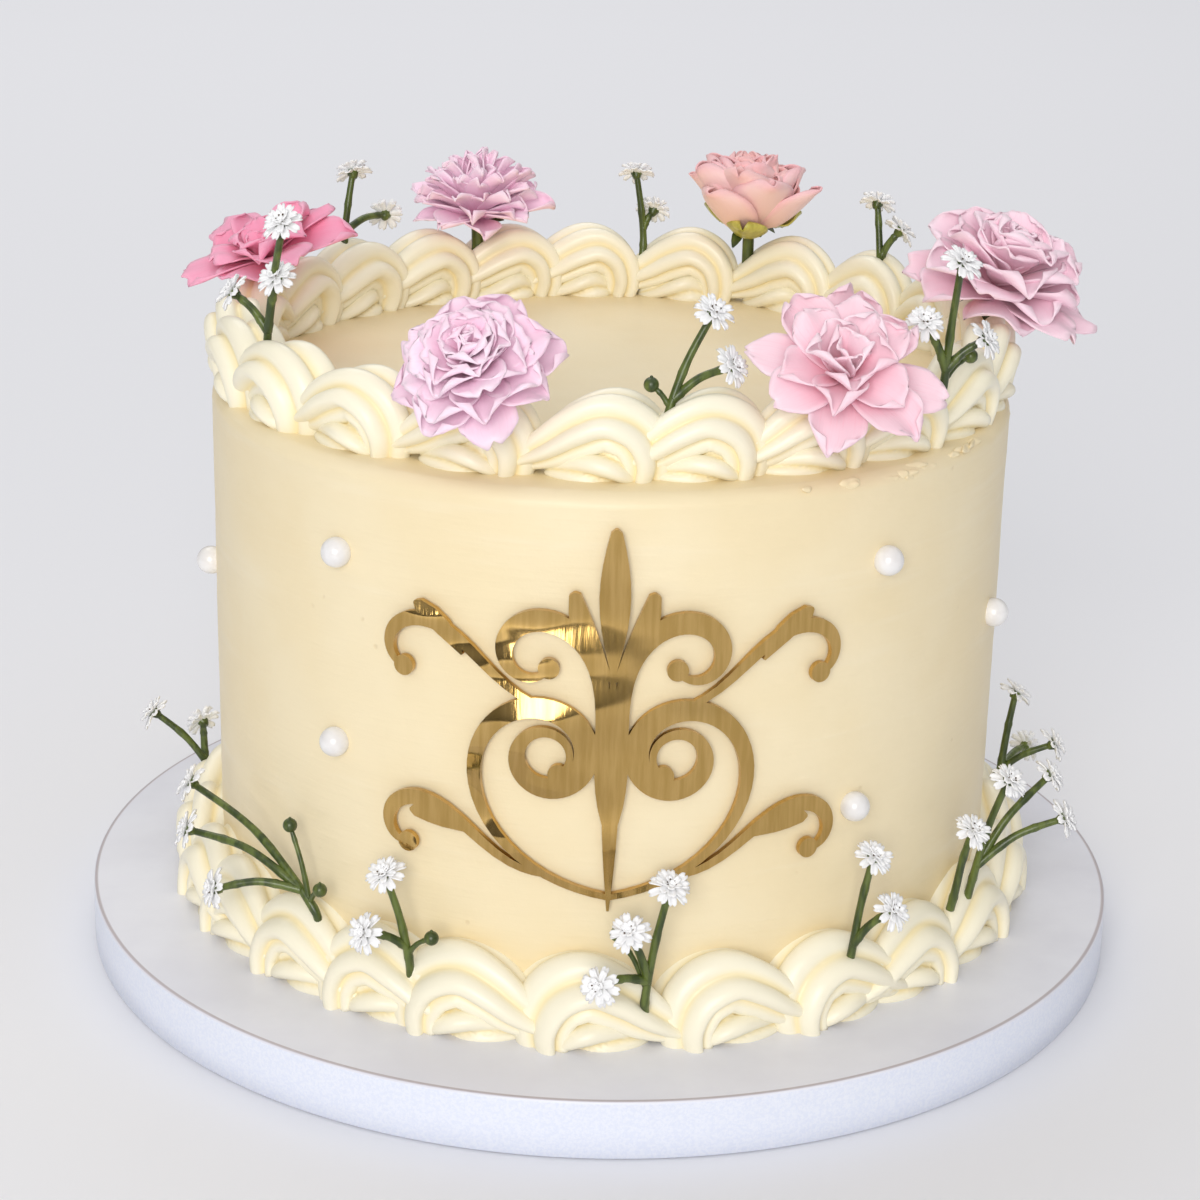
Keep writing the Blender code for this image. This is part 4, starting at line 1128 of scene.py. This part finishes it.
def flourish_strips():
    """Solids of all scrolls and leaves, left and right, each a hair thicker than the last."""
    strips = []
    for start, heading, length, bend_start, bend_end, broad in SCROLLS:
        spine = scroll_spine(start, heading, length, bend_start, bend_end)
        strips.append((spine, scroll_widths(len(spine), broad), True))
    for start, heading, length, bend, broad in LEAVES:
        spine = scroll_spine(start, heading, length, bend, bend)
        strips.append((spine, leaf_widths(len(spine), broad), False))
    solids = []
    for mirror in (1.0, -1.0):
        for spine, widths, ends_round in strips:
            if mirror < 0.0:
                spine = [(-across, up, math.pi - heading) for across, up, heading in spine]
            thick = FLOURISH_THICKNESS + 0.004 * len(solids)
            bm = new_shape()
            add_ribbon(bm, spine, widths, thick)
            solids.append(loose_solid(bm))
            if ends_round:
                disc = bmesh.new()
                bmesh.ops.create_cone(disc, cap_ends=True, segments=32, radius1=SCROLL_DROP,
                                      radius2=SCROLL_DROP, depth=thick + 0.002)
                disc.transform(Matrix.Translation((spine[-1][0], 0.0, spine[-1][1]))
                               @ Matrix.Rotation(math.pi / 2.0, 4, "X"))
                solids.append(loose_solid(disc))
    return solids


def make_flourish(gold):
    """Gold scrollwork in one sheet, wrapped round the front."""
    solids = flourish_strips()
    plate = solids[0]
    group = bpy.data.collections.new("strips")
    for solid in solids[1:]:
        bpy.context.scene.collection.objects.unlink(solid)
        group.objects.link(solid)
    union = plate.modifiers.new("union", "BOOLEAN")
    union.operation = "UNION"
    union.operand_type = "COLLECTION"
    union.collection = group
    union.solver = "EXACT"
    bpy.context.view_layer.objects.active = plate
    bpy.ops.object.modifier_apply(modifier=union.name)
    bm = bmesh.new()
    bm.from_mesh(plate.data)
    for solid in solids:
        bpy.data.objects.remove(solid)
    bpy.data.collections.remove(group)
    bmesh.ops.triangulate(bm, faces=bm.faces)
    half = 0.5 * FLOURISH_THICKNESS
    for vert in bm.verts:
        vert.co.y = math.copysign(half, vert.co.y)
    bmesh.ops.remove_doubles(bm, verts=bm.verts, dist=0.01)
    bmesh.ops.dissolve_degenerate(bm, edges=bm.edges, dist=0.01)
    middle = CAKE_RADIUS + FLOURISH_GAP + half + 0.5
    for vert in bm.verts:
        angle = FLOURISH_ANGLE + math.degrees(vert.co.x / middle)
        vert.co = polar(angle, middle - vert.co.y, FLOURISH_HEIGHT + vert.co.z)
    piece = finish("gold_flourish", bm, [gold], ["flourish"])
    piece.data.set_sharp_from_angle(angle=math.radians(35.0))


# Camera, floor and light

def make_camera():
    """Camera of the photograph."""
    elevation, roll = math.radians(CAMERA_ELEVATION), math.radians(CAMERA_ROLL)
    right = Vector((1.0, 0.0, 0.0))
    ahead = Vector((0.0, math.cos(elevation), -math.sin(elevation)))
    above = right.cross(ahead)
    side = right * math.cos(roll) + above * math.sin(roll)
    top = -right * math.sin(roll) + above * math.cos(roll)
    data = bpy.data.cameras.new("camera")
    data.lens = CAMERA_LENS
    data.sensor_width = 36.0
    data.clip_start = 0.01
    camera = bpy.data.objects.new("camera", data)
    turn = Matrix((side, top, -ahead)).transposed().to_4x4()
    camera.matrix_world = Matrix.Translation(Vector(CAMERA_PLACE) * MM) @ turn
    bpy.context.scene.collection.objects.link(camera)
    bpy.context.scene.camera = camera


def make_light(name, place, aim, size, power, colour):
    """Soft square lamp that looks at a point, all in metres and watts."""
    data = bpy.data.lights.new(name, "AREA")
    data.shape = "RECTANGLE"
    data.size, data.size_y = size
    data.energy = power
    data.color = colour
    lamp = bpy.data.objects.new(name, data)
    lamp.matrix_world = (Matrix.Translation(place)
                         @ (Vector(aim) - Vector(place)).to_track_quat("-Z", "Y").to_matrix().to_4x4())
    bpy.context.scene.collection.objects.link(lamp)


def make_studio():
    """Plain pale floor, pale surroundings and soft lamps."""
    bm = bmesh.new()
    bmesh.ops.create_grid(bm, x_segments=1, y_segments=1, size=6.0)
    mesh = bpy.data.meshes.new("floor")
    bm.to_mesh(mesh)
    bm.free()
    floor = bpy.data.objects.new("floor", mesh)
    floor.location.z = -0.0002
    bpy.context.scene.collection.objects.link(floor)
    material, tree, shader = new_material("floor_paper", Roughness=0.75,
                                          Specular_IOR_Level=0.2)
    shader.inputs["Base Color"].default_value = (0.83, 0.83, 0.86, 1.0)
    mesh.materials.append(material)
    make_sky()
    aim = (0.0, 0.0, 0.07)
    make_light("key", (-0.28, -2.27, 0.9), aim, (1.3, 1.3), KEY_WATTS, (1.0, 0.985, 0.96))
    make_light("behind", (-0.3, 1.6, 1.9), (0.0, 1.2, 0.0), (2.0, 1.0), BACK_WATTS, (1.0, 1.0, 1.0))


def make_sky():
    """Studio surroundings, bright overhead and dim towards the horizon."""
    world = bpy.data.worlds.new("studio")
    world.use_nodes = True
    tree = world.node_tree
    towards = add(tree, "ShaderNodeTexCoord").outputs["Generated"]
    height = add(tree, "ShaderNodeSeparateXYZ", Vector=towards).outputs["Z"]
    strength = calc(tree, "MULTIPLY_ADD", calc(tree, "MAXIMUM", height, 0.0), SKY_TOP, SKY_LOW)
    tree.nodes["Background"].inputs["Color"].default_value = (0.985, 0.99, 1.0, 1.0)
    tree.links.new(strength, tree.nodes["Background"].inputs["Strength"])
    bpy.context.scene.world = world


def main():
    """Make every piece, then the studio."""
    cream = buttercream_group()
    petal_paint = petal_group()
    icing = icing_material(cream)
    piping = piping_material(cream)
    white = white_floret_material()
    green = green_material("stem_green", (0.032, 0.052, 0.008), (0.12, 0.16, 0.028))
    lime = green_material("sepal_lime", (0.40, 0.36, 0.05), (0.60, 0.56, 0.12))
    # Dark brown of the dots that stand for shade in the florets' small central holes
    dark = plain_material("floret_hole_shade_brown", (0.10, 0.06, 0.03), 0.7)
    blooms = {
        "flower_1": ((0.92, 0.40, 0.56), (0.86, 0.20, 0.36), (0.94, 0.52, 0.66)),
        "flower_2": ((0.98, 0.74, 0.87), (0.96, 0.50, 0.70), (0.99, 0.84, 0.93)),
        "flower_3": ((0.97, 0.74, 0.87), (0.98, 0.56, 0.74), (0.98, 0.85, 0.93)),
        "flower_4": ((0.95, 0.66, 0.66), (0.94, 0.58, 0.46), (0.92, 0.42, 0.50)),
        "flower_5": ((0.96, 0.72, 0.80), (0.95, 0.44, 0.54), (0.97, 0.83, 0.90)),
        "flower_6": ((0.97, 0.74, 0.84), (0.97, 0.54, 0.65), (0.98, 0.84, 0.91)),
    }
    bpy.context.scene.view_settings.view_transform = "Standard"
    make_camera()
    make_board(board_top_material(), board_edge_material())
    make_cake(icing)
    make_smears(icing)
    for name in BORDERS:
        make_border(name, piping)
    for name, (light, deep, edge) in blooms.items():
        petals = petal_material(name.replace("flower", "petals"), petal_paint, light, deep, edge)
        make_flower(name, petals, green, lime)
    for name in SPRIGS:
        make_sprig(name, white, green, dark)
    make_pearls(pearl_material())
    make_flourish(gold_material())
    make_studio()


main()
